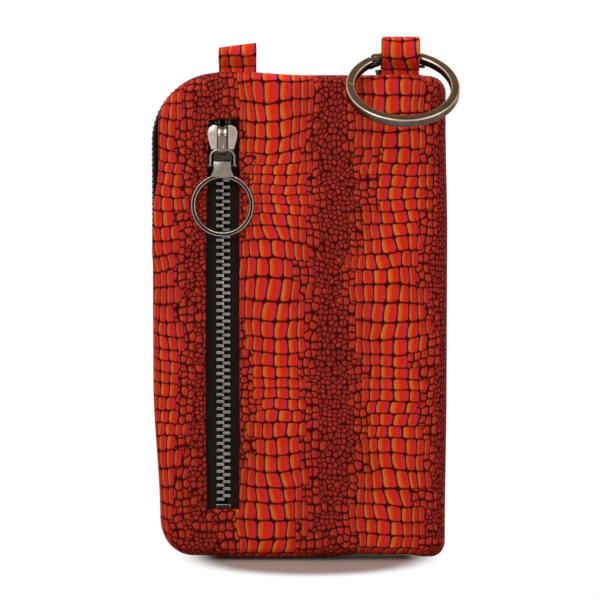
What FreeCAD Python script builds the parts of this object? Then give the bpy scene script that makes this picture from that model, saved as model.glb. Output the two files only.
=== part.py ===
"""Phone pouch: a padded zip pouch with a front zip pocket, two strap tabs and a spring gate ring.

The pouch frame has X across the width, Y from front to back and Z up the height, with zero at the
middle of the bottom edge. Every sub-part is then placed so that the origin of the whole part is the
centre of the left strap tab's eye, from which the pouch hangs. Lengths are millimetres.
"""
import FreeCAD
import Part
import Sketcher
import math
import os
import re

DRIVING_SIZES = (
    ("pouch_width", "110", "across the closed pouch"),
    ("pouch_height", "181", "bottom seam to top edge"),
    ("pouch_depth", "22", "front face to back face when filled"),
    ("edge_round", "6.5", "rounding of the padded edge"),
    ("panel_wall", "2.4", "printed cloth on its foam"),
    ("top_left_radius", "25", "large corner that the main zip runs round"),
    ("top_right_radius", "7.5", "corner above the fold"),
    ("bottom_left_radius", "15", "corner at the foot of the zip side"),
    ("bottom_right_radius", "7.2", "corner at the foot of the fold"),
    ("cut_overrun", "1", "how far every cut runs past its face"),
    ("seat_gap", "0.15", "room left beside a sewn layer"),
    ("lining_thick", "0.6", "lining cloth"),
    ("lining_inset", "3.8", "lining edge to pouch edge"),
    ("lining_round", "6", "least corner of the lining"),
    ("pocket_inset", "13", "pocket bag edge to pouch edge"),
    ("pocket_bottom", "9", "foot of the pocket bag"),
    ("pocket_top_inset", "8", "head of the pocket bag to the top edge"),
    ("pocket_room", "6", "hollow of the pocket bag, front to back"),
    ("pocket_corner", "8", "corners of the pocket bag"),
    ("window_from_left", "26.6", "pouch edge to the zip's centre line"),
    ("window_width", "14", "zip window across"),
    ("window_bottom", "18.6", "foot of the window"),
    ("window_top_inset", "16.6", "head of the window to the top edge"),
    ("window_round", "1.2", "window corner"),
    ("tape_thick", "0.6", "front zip tape"),
    ("tape_reach", "11", "centre line to the outer edge of the tape"),
    ("tape_over", "4.4", "tape behind the panel past each end of the window"),
    ("chain_width", "5.5", "both rows of front teeth"),
    ("tooth_pitch", "2.6", "one front tooth to the next"),
    ("tooth_tall", "1.15", "front tooth along the zip"),
    ("tooth_thick", "2.2", "front tooth, front to back"),
    ("tooth_lap", "0.5", "how far a tooth reaches past the centre line"),
    ("tooth_root", "1.5", "centre line to the edge of the tape"),
    ("grip_gap", "0.03", "room between tooth and tape"),
    ("stop_tall", "1.7", "zip stop along the tape"),
    ("stop_gap", "0.4", "room between a stop and the slider"),
    ("front_slider_long", "13.4", "front slider along the zip"),
    ("front_slider_wide", "11", "front slider over its shoulders"),
    ("front_slider_plate", "1", "one plate of the front slider"),
    ("front_slider_from_top", "19.6", "top of the closed front slider to the top edge"),
    ("front_bridge_wide", "3", "bridge of the front slider across"),
    ("front_bridge_rise", "3.2", "bridge above the front plate"),
    ("front_bar_lift", "1.6", "hanger bar above the front plate"),
    ("front_bar_drop", "2.6", "hanger bar below the slider's middle"),
    ("front_bar_radius", "0.6", "hanger bar of the bail"),
    ("chain_room", "0.25", "room between chain and slider"),
    ("tape_room", "0.3", "room between tape and slider flange"),
    ("pin_room", "0.08", "running room round a pin"),
    ("bail_inner", "7.6", "between the legs of the bail"),
    ("bail_leg", "1.2", "leg of the bail across"),
    ("bail_thick", "1.6", "leg of the bail, front to back"),
    ("bail_long", "5.6", "hanger bar to rivet"),
    ("rivet_radius", "0.6", "rivet through the stem"),
    ("rivet_head", "0.8", "radius of the rivet heads"),
    ("rivet_head_tall", "0.25", "rivet head outside the leg"),
    ("pull_ring_radius", "11.5", "outer radius of the pull ring"),
    ("pull_ring_bar", "1.6", "radial width of the pull ring"),
    ("pull_ring_thick", "1.6", "pull ring front to back"),
    ("pull_ring_drop", "14.5", "rivet to the centre of the pull ring"),
    ("stem_wide", "6.3", "stem across"),
    ("stem_flare", "8.6", "stem where it meets the ring"),
    ("stem_thick", "2", "stem front to back"),
    ("pull_edge", "0.35", "bevel of the pull ring"),
    ("main_zip_gap", "7.6", "between the panel rims"),
    ("main_zip_foot", "115", "lower end of the main zip on the left side"),
    ("main_zip_inset", "16", "right end of the main zip to the pouch edge"),
    ("main_tape_sink", "0.6", "main tape below the pouch edge"),
    ("main_tape_thick", "0.8", "main zip tape"),
    ("main_chain_width", "4", "both rows of main teeth"),
    ("main_tooth_pitch", "2", "one main tooth to the next"),
    ("main_tooth_tall", "0.8", "main tooth along the zip"),
    ("main_tooth_thick", "2.4", "main tooth through the tape"),
    ("main_tooth_lap", "0.35", "how far a main tooth reaches past the centre line"),
    ("main_slider_long", "10", "main slider along the zip"),
    ("main_slider_wide", "7", "main slider over its shoulders"),
    ("main_slider_plate", "0.8", "one plate of the main slider"),
    ("main_slider_from_right", "22", "closed main slider's middle to the pouch edge"),
    ("main_bridge_wide", "1.6", "bridge of the main slider across"),
    ("main_bridge_rise", "2.6", "bridge above the main slider's plate"),
    ("main_bar_lift", "1.3", "pull bar above the main slider's plate"),
    ("main_bar_drop", "1.6", "pull bar behind the main slider's middle"),
    ("main_bar_radius", "0.5", "bar of the main pull"),
    ("main_pull_wide", "3.2", "main pull across"),
    ("main_pull_long", "15", "main pull from its bar to its tip"),
    ("main_pull_thick", "1", "main pull plate"),
    ("main_pull_slot", "0.3", "room between the main pull and its bridge"),
    ("tab_width", "14", "strap tab across"),
    ("tab_cloth", "1.2", "one layer of tab cloth"),
    ("tab_seam", "6.4", "tab below the top edge, inside the seam"),
    ("left_tab_from_left", "32", "left tab's middle to the pouch edge"),
    ("left_tab_rise", "10", "left tab above the top edge"),
    ("left_eye_radius", "2.4", "eye of the left tab"),
    ("left_tab_lean", "0.7", "left eye forward of its seam"),
    ("right_tab_from_right", "18", "right tab's middle to the pouch edge"),
    ("right_tab_rise", "13", "right tab above the top edge"),
    ("right_eye_radius", "3.7", "eye of the right tab"),
    ("right_tab_lean", "1.8", "right eye pulled forward by the ring"),
    ("right_eye_slack", "2.8", "height of the right eye above a round one"),
    ("ring_radius", "20.5", "outer radius of the gate ring"),
    ("ring_bar", "3.2", "radial width of the gate ring"),
    ("ring_depth", "3.3", "gate ring along its axis"),
    ("ring_tilt", "42", "gate ring below level, in degrees"),
    ("ring_edge", "0.4", "bevel of the gate ring"),
    ("gate_start_angle", "119", "gate hinge round the ring from its right, in degrees"),
    ("gate_end_angle", "178", "tip of the gate round the ring, in degrees"),
    ("gate_gap", "0.35", "room at the ends of the gate"),
    ("gate_tongue", "1.4", "tongue of the gate along the ring's axis"),
    ("gate_tongue_room", "0.12", "room each side of the tongue"),
    ("knuckle_radius", "1.9", "hinge knuckle of the gate ring"),
    ("knuckle_room", "0.3", "room round the knuckle"),
    ("hinge_pin_radius", "0.65", "hinge pin of the gate"),
    ("hinge_pin_head", "0.3", "hinge pin past each face of the ring"),
    ("spring_leaf", "0.4", "leaf of the gate spring"),
    ("spring_width", "1.6", "leaf along the ring's axis"),
    ("spring_room", "0.6", "leaf to the inside of the ring"),
    ("spring_foot_angle", "2.2", "foot of the leaf, in degrees"),
    ("spring_foot_back", "9", "foot of the leaf behind the gate hinge, in degrees"),
    ("spring_reach", "14", "leaf past the gate hinge, in degrees"),
)

DERIVED_SIZES = (
    ("half_width", "=pouch_width / 2"),
    ("half_depth", "=pouch_depth / 2"),
    ("cavity", "=half_depth - panel_wall"),
    ("inner_bevel", "=(edge_round - panel_wall) / 2"),
    ("pocket_width", "=pouch_width - 2 * pocket_inset"),
    ("pocket_tall", "=pouch_height - pocket_bottom - pocket_top_inset"),
    ("window_tall", "=pouch_height - window_bottom - window_top_inset"),
    ("front_slider_top", "=pouch_height - front_slider_from_top"),
    ("zip_x", "=window_from_left - half_width"),
    ("tape_y", "=tape_thick / 2 - cavity"),
    ("pocket_back", "=pocket_room + lining_thick - cavity"),
    ("window_top", "=window_bottom + window_tall"),
    ("front_slider_thick", "=tooth_thick + 2 * chain_room + 2 * front_slider_plate"),
    ("main_slider_thick", "=main_tooth_thick + 2 * chain_room + 2 * main_slider_plate"),
    ("front_slider_z", "=front_slider_top - front_slider_long / 2"),
    ("front_bar_y", "=tape_y - front_slider_thick / 2 - front_bar_lift"),
    ("front_bar_z", "=front_slider_z - front_bar_drop"),
    ("rivet_z", "=front_bar_z - bail_long"),
    ("main_tape_middle", "=main_tape_sink + main_tape_thick / 2"),
    ("main_slider_x", "=half_width - main_slider_from_right"),
    ("main_slider_z", "=pouch_height - main_tape_middle"),
    ("main_bar_x", "=main_slider_x - main_bar_drop"),
    ("main_bar_z", "=main_slider_z + main_slider_thick / 2 + main_bar_lift"),
    ("tab_stem", "=2 * tab_cloth"),
    ("tab_y", "=-main_zip_gap / 2 - tab_cloth"),
    ("left_tab_x", "=left_tab_from_left - half_width"),
    ("left_eye_y", "=tab_y - left_tab_lean"),
    ("left_eye_z", "=pouch_height + left_tab_rise - left_eye_radius - tab_cloth"),
    ("right_tab_x", "=half_width - right_tab_from_right"),
    ("right_eye_y", "=tab_y - right_tab_lean"),
    ("right_eye_z", "=pouch_height + right_tab_rise - right_eye_radius - tab_cloth - right_eye_slack"),
    ("ring_middle", "=ring_radius - ring_bar / 2"),
    ("ring_hang", "=(ring_middle + sqrt(ring_middle ^ 2 - tab_width ^ 2 / 4)) / 2"),
    ("ring_y", "=right_eye_y - ring_hang * cos(ring_tilt * 1 deg)"),
    ("ring_z", "=right_eye_z - ring_hang * sin(ring_tilt * 1 deg)"),
    ("hang_x", "=-left_tab_x"),
    ("hang_y", "=-left_eye_y"),
    ("hang_z", "=-left_eye_z"),
)

# A slider seen from its front: shares of its half width and half length, right side from the top notch.
SLIDER_OUTLINE_SHARES = (
    (0.0, 0.86), (0.22, 0.97), (0.56, 1.0), (0.87, 0.87), (1.0, 0.60),
    (0.94, 0.20), (0.76, -0.30), (0.74, -0.86), (0.60, -1.0),
)
# The wedge between the plates: shares of half the chain's width and of the slider's half length.
WEDGE_SHARES = ((0.0, 0.66), (0.46, 0.58), (0.0, 0.10), (-0.46, 0.58))
# The bridge seen from its side: shares of its rise and of the slider's half length.
BRIDGE_SHARES = ((0.0, 0.84), (0.55, 0.79), (1.0, 0.54), (1.0, -0.46), (0.72, -0.62), (0.0, -0.64))
# A tooth seen along the zip: the width of its nose and the place of its shoulder.
TOOTH_NOSE_SHARE = 0.55
TOOTH_SHOULDER_SHARE = 0.2
# The recess on the crown of the bridge, as shares of the bridge's width and the slider's half length.
CROWN_RECESS_SHARES = (0.44, 0.24)
CROWN_DEPTH_SHARE = 0.18
# How deep the stem of the pull sinks into its ring.
STEM_SINK_SHARE = 0.7
# How far the main pull narrows at its waist.
PULL_WAIST_SHARE = 0.62

document = FreeCAD.newDocument("phone_pouch")
sizes = document.addObject("Spreadsheet::Sheet", "Sizes")
sub_parts = []


def fill_sheet():
    """Write the driving and derived sizes into the sheet, one row each."""
    row = 0
    for alias, text, meaning in DRIVING_SIZES:
        row += 1
        sizes.set(f"A{row}", meaning)
        sizes.set(f"B{row}", text)
        sizes.setAlias(f"B{row}", alias)
    for alias, formula in DERIVED_SIZES:
        row += 1
        sizes.set(f"B{row}", formula)
        sizes.setAlias(f"B{row}", alias)
    document.recompute()


ALIASES = {entry[0] for entry in DRIVING_SIZES + DERIVED_SIZES}


def bound(formula):
    """Turn a formula in the sheet's words into one that any object can be bound to."""
    return re.sub(r"[a-z][a-z_]*", lambda found: prefixed(found.group()), formula)


def prefixed(word):
    return "Sizes." + word if word in ALIASES else word


def value(formula):
    """The number that a formula in the sheet's words has now."""
    return float(sizes.evalExpression(bound(formula)))


def bind(target, **formulas):
    """Bind properties of an object to formulas; two underscores stand for a dot."""
    for name, formula in formulas.items():
        target.setExpression(name.replace("__", "."), bound(formula))


def keep(target, x="0", y="0", z="0", turn=None):
    """Place a finished sub-part in the pouch frame and list it for writing."""
    if turn is not None:
        target.Placement = FreeCAD.Placement(FreeCAD.Vector(), turn)
    bind(target, Placement__Base__x=f"hang_x + {x}", Placement__Base__y=f"hang_y + {y}",
         Placement__Base__z=f"hang_z + {z}")
    sub_parts.append(target)
    return target


def new_body(label):
    body = document.addObject("PartDesign::Body", label)
    body.Label = label
    return body


def new_sketch(body, plane, name, offset="0"):
    """A sketch on one of the body's own origin planes, raised along the plane's normal."""
    sketch = body.newObject("Sketcher::SketchObject", name)
    support = [item for item in body.Origin.OriginFeatures if item.Role == plane][0]
    sketch.AttachmentSupport = [(support, "")]
    sketch.MapMode = "FlatFace"
    bind(sketch, AttachmentOffset__Base__z=offset)
    return sketch


def pin_coordinate(sketch, kind, shape, point, formula):
    """Hold one coordinate of a sketch point at a formula measured from the sketch's origin."""
    now = value(formula)
    if now == 0:
        axis = -2 if kind == "DistanceX" else -1
        sketch.addConstraint(Sketcher.Constraint("PointOnObject", shape, point, axis))
        return
    if now > 0:
        index = sketch.addConstraint(Sketcher.Constraint(kind, -1, 1, shape, point, now))
        sketch.setExpression(f"Constraints[{index}]", bound(formula))
        return
    index = sketch.addConstraint(Sketcher.Constraint(kind, shape, point, -1, 1, -now))
    sketch.setExpression(f"Constraints[{index}]", bound(f"-({formula})"))


def pin_radius(sketch, shape, formula):
    index = sketch.addConstraint(Sketcher.Constraint("Radius", shape, value(formula)))
    sketch.setExpression(f"Constraints[{index}]", bound(formula))


def draw_polygon(sketch, corners):
    """A closed polygon whose corners are pairs of formulas."""
    spots = [FreeCAD.Vector(value(x), value(y), 0) for x, y in corners]
    lines = []
    for index, spot in enumerate(spots):
        following = spots[(index + 1) % len(spots)]
        lines.append(sketch.addGeometry(Part.LineSegment(spot, following), False))
    for index, line in enumerate(lines):
        following = lines[(index + 1) % len(lines)]
        sketch.addConstraint(Sketcher.Constraint("Coincident", line, 2, following, 1))
    for line, (x, y) in zip(lines, corners):
        pin_coordinate(sketch, "DistanceX", line, 1, x)
        pin_coordinate(sketch, "DistanceY", line, 1, y)


def draw_circle(sketch, x, y, radius):
    centre = FreeCAD.Vector(value(x), value(y), 0)
    circle = sketch.addGeometry(Part.Circle(centre, FreeCAD.Vector(0, 0, 1), value(radius)), False)
    pin_radius(sketch, circle, radius)
    pin_coordinate(sketch, "DistanceX", circle, 3, x)
    pin_coordinate(sketch, "DistanceY", circle, 3, y)


def draw_rounded(sketch, left, right, bottom, top, radii):
    """A rectangle with a radius for each corner: bottom left, bottom right, top right, top left."""
    low_x, high_x, low_y, high_y = (value(edge) for edge in (left, right, bottom, top))
    sw, se, ne, nw = (value(radius) for radius in radii)
    ends = (
        ((low_x + sw, low_y), (high_x - se, low_y)),
        ((high_x, low_y + se), (high_x, high_y - ne)),
        ((high_x - ne, high_y), (low_x + nw, high_y)),
        ((low_x, high_y - nw), (low_x, low_y + sw)),
    )
    centres = (
        (high_x - se, low_y + se, se), (high_x - ne, high_y - ne, ne),
        (low_x + nw, high_y - nw, nw), (low_x + sw, low_y + sw, sw),
    )
    quarter = math.pi / 2
    lines = []
    arcs = []
    for side, (first, last) in enumerate(ends):
        segment = Part.LineSegment(FreeCAD.Vector(*first, 0), FreeCAD.Vector(*last, 0))
        lines.append(sketch.addGeometry(segment, False))
        x, y, radius = centres[side]
        circle = Part.Circle(FreeCAD.Vector(x, y, 0), FreeCAD.Vector(0, 0, 1), radius)
        arc = Part.ArcOfCircle(circle, (side - 1) * quarter, side * quarter)
        arcs.append(sketch.addGeometry(arc, False))
    for side in range(len(lines)):
        following = lines[(side + 1) % len(lines)]
        sketch.addConstraint(Sketcher.Constraint("Tangent", lines[side], 2, arcs[side], 1))
        sketch.addConstraint(Sketcher.Constraint("Tangent", arcs[side], 2, following, 1))
        direction = "Horizontal" if side % 2 == 0 else "Vertical"
        sketch.addConstraint(Sketcher.Constraint(direction, lines[side]))
    for arc, radius in zip(arcs, radii[1:] + radii[:1]):
        pin_radius(sketch, arc, radius)
    pin_coordinate(sketch, "DistanceY", lines[0], 1, bottom)
    pin_coordinate(sketch, "DistanceX", lines[1], 1, right)
    pin_coordinate(sketch, "DistanceY", lines[2], 1, top)
    pin_coordinate(sketch, "DistanceX", lines[3], 1, left)


def add_pad(body, sketch, length, symmetric=False, reverse=False):
    pad = body.newObject("PartDesign::Pad", sketch.Name + "_pad")
    pad.Profile = sketch
    pad.SideType = "Symmetric" if symmetric else "One side"
    pad.Reversed = reverse
    bind(pad, Length=length)
    document.recompute()
    return pad


def add_pocket(body, sketch, length, symmetric=False, reverse=False):
    """Cut a sketch into the body, and make sure that the cut met the solid."""
    document.recompute()
    before = body.Shape.Volume
    pocket = body.newObject("PartDesign::Pocket", sketch.Name + "_pocket")
    pocket.Profile = sketch
    pocket.SideType = "Symmetric" if symmetric else "One side"
    pocket.Reversed = reverse
    bind(pocket, Length=length)
    document.recompute()
    if body.Shape.Volume >= before:
        raise RuntimeError(f"{pocket.Name} cuts nothing")
    return pocket


def edges_on_plane(shape, axis, level):
    """Names of the edges that lie whole on a plane square to an axis."""
    names = []
    for index, edge in enumerate(shape.Edges, 1):
        box = edge.BoundBox
        low, high = getattr(box, axis + "Min"), getattr(box, axis + "Max")
        near = value("grip_gap")
        if abs(low - level) < near and abs(high - level) < near:
            names.append(f"Edge{index}")
    return names


def add_fillet(body, feature, axis, level, radius, kind="PartDesign::Fillet", size="Radius"):
    """Round or bevel every edge of a feature that lies on one plane."""
    names = edges_on_plane(feature.Shape, axis, level)
    rounding = body.newObject(kind, f"{feature.Name}_{size.lower()}")
    rounding.Base = (feature, names)
    bind(rounding, **{size: radius})
    document.recompute()
    return rounding


def panel_shell(label, front):
    """One half of the padded shell: a dish with its rim on the middle plane of the pouch."""
    body = new_body(label)
    side = -1 if front else 1
    outline = new_sketch(body, "XZ_Plane", label + "_outline")
    draw_rounded(outline, "-half_width", "half_width", "0", "pouch_height",
                 ("bottom_left_radius", "bottom_right_radius", "top_right_radius", "top_left_radius"))
    outer = add_pad(body, outline, "half_depth", reverse=not front)
    add_fillet(body, outer, "Y", side * value("half_depth"), "edge_round")
    inside = new_sketch(body, "XZ_Plane", label + "_inside")
    inner_radii = tuple(f"{corner}_radius - panel_wall"
                        for corner in ("bottom_left", "bottom_right", "top_right", "top_left"))
    draw_rounded(inside, "panel_wall - half_width", "half_width - panel_wall", "panel_wall",
                 "pouch_height - panel_wall", inner_radii)
    hollow = add_pocket(body, inside, "cavity", reverse=front)
    add_fillet(body, hollow, "Y", side * value("cavity"), "inner_bevel", "PartDesign::Chamfer", "Size")
    gap = new_sketch(body, "XZ_Plane", label + "_zip_gap")
    draw_polygon(gap, (("-half_width - cut_overrun", "main_zip_foot"),
                       ("half_width - main_zip_inset", "main_zip_foot"),
                       ("half_width - main_zip_inset", "pouch_height + cut_overrun"),
                       ("-half_width - cut_overrun", "pouch_height + cut_overrun")))
    add_pocket(body, gap, "main_zip_gap / 2", reverse=front)
    return body


def front_panel():
    body = panel_shell("front_panel", True)
    window = new_sketch(body, "XZ_Plane", "zip_window")
    draw_rounded(window, "zip_x - window_width / 2", "zip_x + window_width / 2", "window_bottom",
                 "window_top", ("window_round",) * 4)
    add_pocket(body, window, "half_depth + cut_overrun", reverse=True)
    for name in ("left", "right"):
        notch = new_sketch(body, "XZ_Plane", name + "_tab_notch", "main_zip_gap / 2")
        tab_x = name + "_tab_x"
        draw_polygon(notch, ((f"{tab_x} - tab_width / 2", "pouch_height - panel_wall - cut_overrun"),
                             (f"{tab_x} + tab_width / 2", "pouch_height - panel_wall - cut_overrun"),
                             (f"{tab_x} + tab_width / 2", "pouch_height + cut_overrun"),
                             (f"{tab_x} - tab_width / 2", "pouch_height + cut_overrun")))
        add_pocket(body, notch, "tab_stem", reverse=True)
    keep(body)


def back_panel():
    keep(panel_shell("back_panel", False))


def lining(label, offset, inset):
    """A lining sheet inside the shell; offset is its front face behind the middle plane."""
    body = new_body(label)
    sheet = new_sketch(body, "XZ_Plane", label + "_sheet", f"-({offset})")
    corner = "lining_round"
    draw_rounded(sheet, f"{inset} - half_width", f"half_width - {inset}", inset, f"pouch_height - {inset}",
                 (f"bottom_left_radius - {inset}", corner, corner, f"top_left_radius - {inset}"))
    add_pad(body, sheet, "lining_thick", reverse=True)
    keep(body)


def pocket_bag():
    """The pocket's bag: a shallow tray sewn by its rim to the back of the front panel."""
    body = new_body("pocket_bag")
    radii = ("pocket_corner",) * 4
    tray = new_sketch(body, "XZ_Plane", "pocket_tray", "-pocket_back")
    draw_rounded(tray, "-pocket_width / 2", "pocket_width / 2", "pocket_bottom",
                 "pocket_bottom + pocket_tall", radii)
    add_pad(body, tray, "pocket_room + lining_thick")
    hollow = new_sketch(body, "XZ_Plane", "pocket_hollow", "lining_thick - pocket_back")
    draw_rounded(hollow, "lining_thick - pocket_width / 2", "pocket_width / 2 - lining_thick",
                 "pocket_bottom + lining_thick", "pocket_bottom + pocket_tall - lining_thick",
                 tuple(f"{radius} - lining_thick" for radius in radii))
    add_pocket(body, hollow, "pocket_room + cut_overrun", reverse=True)
    keep(body)


def front_zip_tape(label, side):
    tape = document.addObject("Part::Box", label)
    tape.Label = label
    bind(tape, Length="tape_reach - tooth_root", Width="tape_thick",
         Height="window_tall + 2 * tape_over")
    edge = "zip_x + tooth_root" if side > 0 else "zip_x - tape_reach"
    keep(tape, edge, "tape_y - tape_thick / 2", "window_bottom - tape_over")


def tooth_solid(side):
    """One metal tooth, seen along the zip: a nose past the centre line and two legs over the tape."""
    half = value("tooth_thick / 2")
    slot = value("tape_thick / 2 + grip_gap")
    back = value("chain_width / 2")
    root = value("tooth_root - grip_gap")
    lap = value("tooth_lap")
    shoulder = back * TOOTH_SHOULDER_SHARE
    nose = half * TOOTH_NOSE_SHARE
    upper = ((-lap, nose), (shoulder, half), (back, half), (back, slot), (root, slot))
    lower = tuple((x, -y) for x, y in reversed(upper))
    corners = [FreeCAD.Vector(side * x, y, 0) for x, y in upper + lower]
    face = Part.Face(Part.makePolygon(corners + corners[:1]))
    return face.extrude(FreeCAD.Vector(0, 0, value("tooth_tall")))


def tooth_row(label, side):
    """One row of metal teeth from the bottom stop to the wedge of the closed slider."""
    pitch = value("tooth_pitch")
    first = value("window_bottom + 2 * stop_tall + stop_gap")
    if side > 0:
        first += pitch / 2
    wedge_foot = value("front_slider_z") + value("front_slider_long / 2") * WEDGE_SHARES[2][1]
    count = int((wedge_foot - first - value("tooth_tall + grip_gap")) / pitch) + 1
    tooth = tooth_solid(side)
    shapes = []
    for index in range(count):
        copy = tooth.copy()
        copy.translate(FreeCAD.Vector(0, 0, first + index * pitch))
        shapes.append(copy)
    row = document.addObject("Part::Feature", label)
    row.Label = label
    row.Shape = Part.makeCompound(shapes)
    keep(row, "zip_x", "tape_y")


def stop_clip(inner, outer, low):
    """The blank of a metal clip that is bent over the edge of a tape."""
    thick = value("tooth_thick")
    return Part.makeBox(outer - inner, thick, value("stop_tall"), FreeCAD.Vector(inner, -thick / 2, low))


def front_top_stops():
    """A clip on the edge of each tape, just above the closed slider."""
    low = value("front_slider_top + stop_gap")
    root = value("tooth_root")
    wide = value("chain_width / 2")
    slot = value("tape_thick / 2 + grip_gap")
    shapes = []
    for side in (-1, 1):
        edges = sorted((side * (root - value("front_slider_plate / 2")), side * wide))
        clip = stop_clip(edges[0], edges[1], low)
        reach = sorted((side * (root - value("grip_gap")), side * (wide + value("cut_overrun"))))
        slit = Part.makeBox(reach[1] - reach[0], 2 * slot, value("stop_tall + 2 * cut_overrun"),
                            FreeCAD.Vector(reach[0], -slot, low - value("cut_overrun")))
        shapes.append(clip.cut(slit))
    stops = document.addObject("Part::Feature", "front_zip_top_stops")
    stops.Label = "front_zip_top_stops"
    stops.Shape = Part.makeCompound(shapes)
    keep(stops, "zip_x", "tape_y")


def front_bottom_stop():
    """One clip over both tapes at the foot of the teeth."""
    low = value("window_bottom + stop_tall / 2")
    wide = value("chain_width / 2")
    root = value("tooth_root - grip_gap")
    slot = value("tape_thick / 2 + grip_gap")
    over = value("cut_overrun")
    clip = stop_clip(-wide, wide, low)
    for side in (-1, 1):
        reach = sorted((side * root, side * (wide + over)))
        slit = Part.makeBox(reach[1] - reach[0], 2 * slot, value("stop_tall") + 2 * over,
                            FreeCAD.Vector(reach[0], -slot, low - over))
        clip = clip.cut(slit)
    stop = document.addObject("Part::Feature", "front_zip_bottom_stop")
    stop.Label = "front_zip_bottom_stop"
    stop.Shape = clip
    keep(stop, "zip_x", "tape_y")


def mirrored_outline(shares, half_wide, half_long):
    """Corners of an outline given by the shares of its right side, from the top to the foot."""
    right = [(f"{x} * {half_wide}", f"{z} * {half_long}") for x, z in shares]
    left = [(f"-{x} * {half_wide}", f"{z} * {half_long}") for x, z in reversed(shares) if x]
    return right + left


def slider(label, name, chain_wide, chain_thick, tape, chain_reach):
    """A slider in its own frame: front along -Y, closing end along +Z, middle of the tape at zero."""
    body = new_body(label)
    thick = f"{name}_slider_thick"
    half_wide = f"({name}_slider_wide / 2)"
    half_long = f"({name}_slider_long / 2)"
    plan = new_sketch(body, "XZ_Plane", label + "_plan", f"-{thick} / 2")
    draw_polygon(plan, mirrored_outline(SLIDER_OUTLINE_SHARES, half_wide, half_long))
    add_pad(body, plan, thick)
    channel = new_sketch(body, "XY_Plane", label + "_channel")
    room = f"({chain_wide} / 2 + {chain_reach})"
    rise = f"({chain_thick} / 2 + chain_room)"
    slot = f"({tape} / 2 + tape_room)"
    past = f"({name}_slider_wide / 2 + cut_overrun)"
    upper = ((past, slot), (room, slot), (room, rise), (f"-{room}", rise), (f"-{room}", slot),
             (f"-{past}", slot))
    lower = tuple((x, f"-{y}") for x, y in reversed(upper))
    draw_polygon(channel, upper + lower)
    add_pocket(body, channel, f"{name}_slider_long + 2 * cut_overrun", symmetric=True)
    wedge = new_sketch(body, "XZ_Plane", label + "_wedge")
    draw_polygon(wedge, [(f"{x} * {chain_wide} / 2", f"{z} * {half_long}") for x, z in WEDGE_SHARES])
    add_pad(body, wedge, f"{thick} - {name}_slider_plate", symmetric=True)
    bridge = new_sketch(body, "YZ_Plane", label + "_bridge")
    foot = f"(-{thick} / 2 + {name}_slider_plate / 2)"
    rise_full = f"({name}_bridge_rise + {name}_slider_plate / 2)"
    draw_polygon(bridge, [(f"{foot} - {y} * {rise_full}", f"{z} * {half_long}")
                          for y, z in BRIDGE_SHARES])
    add_pad(body, bridge, f"{name}_bridge_wide", symmetric=True)
    crown = f"({thick} / 2 + {name}_bridge_rise)"
    across, along = CROWN_RECESS_SHARES
    recess = new_sketch(body, "XZ_Plane", label + "_recess",
                        f"{crown} - {CROWN_DEPTH_SHARE} * {name}_bridge_rise")
    wide = f"{across} * {name}_bridge_wide / 2"
    long = f"{along} * {half_long}"
    draw_polygon(recess, ((f"-{wide}", f"-{long}"), (wide, f"-{long}"), (wide, long), (f"-{wide}", long)))
    add_pocket(body, recess, "cut_overrun", reverse=True)
    eye = new_sketch(body, "YZ_Plane", label + "_eye")
    draw_circle(eye, f"-{thick} / 2 - {name}_bar_lift", f"-{name}_bar_drop",
                f"{name}_bar_radius + pin_room")
    add_pocket(body, eye, f"{name}_bridge_wide + 2 * cut_overrun", symmetric=True)
    return body


def front_slider():
    body = slider("front_slider", "front", "chain_width", "tooth_thick", "tape_thick", "tape_room")
    keep(body, "zip_x", "tape_y", "front_slider_z")


def cylinder_along_x(name, radius, length, x, y, z):
    """A round bar along X, from x, in the frame of the piece that it belongs to."""
    bar = document.addObject("Part::Cylinder", name)
    bind(bar, Radius=radius, Height=length)
    bar.Placement = FreeCAD.Placement(FreeCAD.Vector(), FreeCAD.Rotation(FreeCAD.Vector(0, 1, 0), 90))
    bind(bar, Placement__Base__x=x, Placement__Base__y=y, Placement__Base__z=z)
    return bar


def fuse(name, pieces):
    whole = document.addObject("Part::MultiFuse", name)
    whole.Shapes = pieces
    return whole


def cut(name, base, tool):
    result = document.addObject("Part::Cut", name)
    result.Base = base
    result.Tool = tool
    return result


def pull_bail():
    """The inverted U: a round hanger bar and two flat legs with an eye at each foot."""
    outer = "bail_inner + 2 * bail_leg"
    pieces = [cylinder_along_x("bail_bar", "front_bar_radius", outer, f"-({outer}) / 2", "0", "0")]
    for side, start in (("left", "-bail_inner / 2 - bail_leg"), ("right", "bail_inner / 2")):
        leg = document.addObject("Part::Box", f"bail_{side}_leg")
        bind(leg, Length="bail_leg", Width="bail_thick", Height="bail_long",
             Placement__Base__x=start, Placement__Base__y="-bail_thick / 2", Placement__Base__z="-bail_long")
        pieces.append(leg)
        for end, z in (("head", "0"), ("foot", "-bail_long")):
            pieces.append(cylinder_along_x(f"bail_{side}_{end}", "bail_thick / 2", "bail_leg", start, "0", z))
    holes = cylinder_along_x("bail_eyes", "rivet_radius", f"{outer} + 2 * cut_overrun",
                             f"-({outer}) / 2 - cut_overrun", "0", "-bail_long")
    bail = cut("pull_bail", fuse("bail_blank", pieces), holes)
    bail.Label = "pull_bail"
    keep(bail, "zip_x", "front_bar_y", "front_bar_z")


def pull_rivet():
    """A plain rivet with a flat head outside each leg of the bail."""
    outer = "bail_inner + 2 * bail_leg"
    pieces = [cylinder_along_x("rivet_shank", "rivet_radius", outer, f"-({outer}) / 2", "0", "0")]
    for side, start in (("left", f"-({outer}) / 2 - rivet_head_tall"), ("right", f"({outer}) / 2")):
        pieces.append(cylinder_along_x(f"rivet_{side}_head", "rivet_head", "rivet_head_tall", start, "0", "0"))
    rivet = fuse("pull_rivet", pieces)
    rivet.Label = "pull_rivet"
    keep(rivet, "zip_x", "front_bar_y", "rivet_z")


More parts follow.
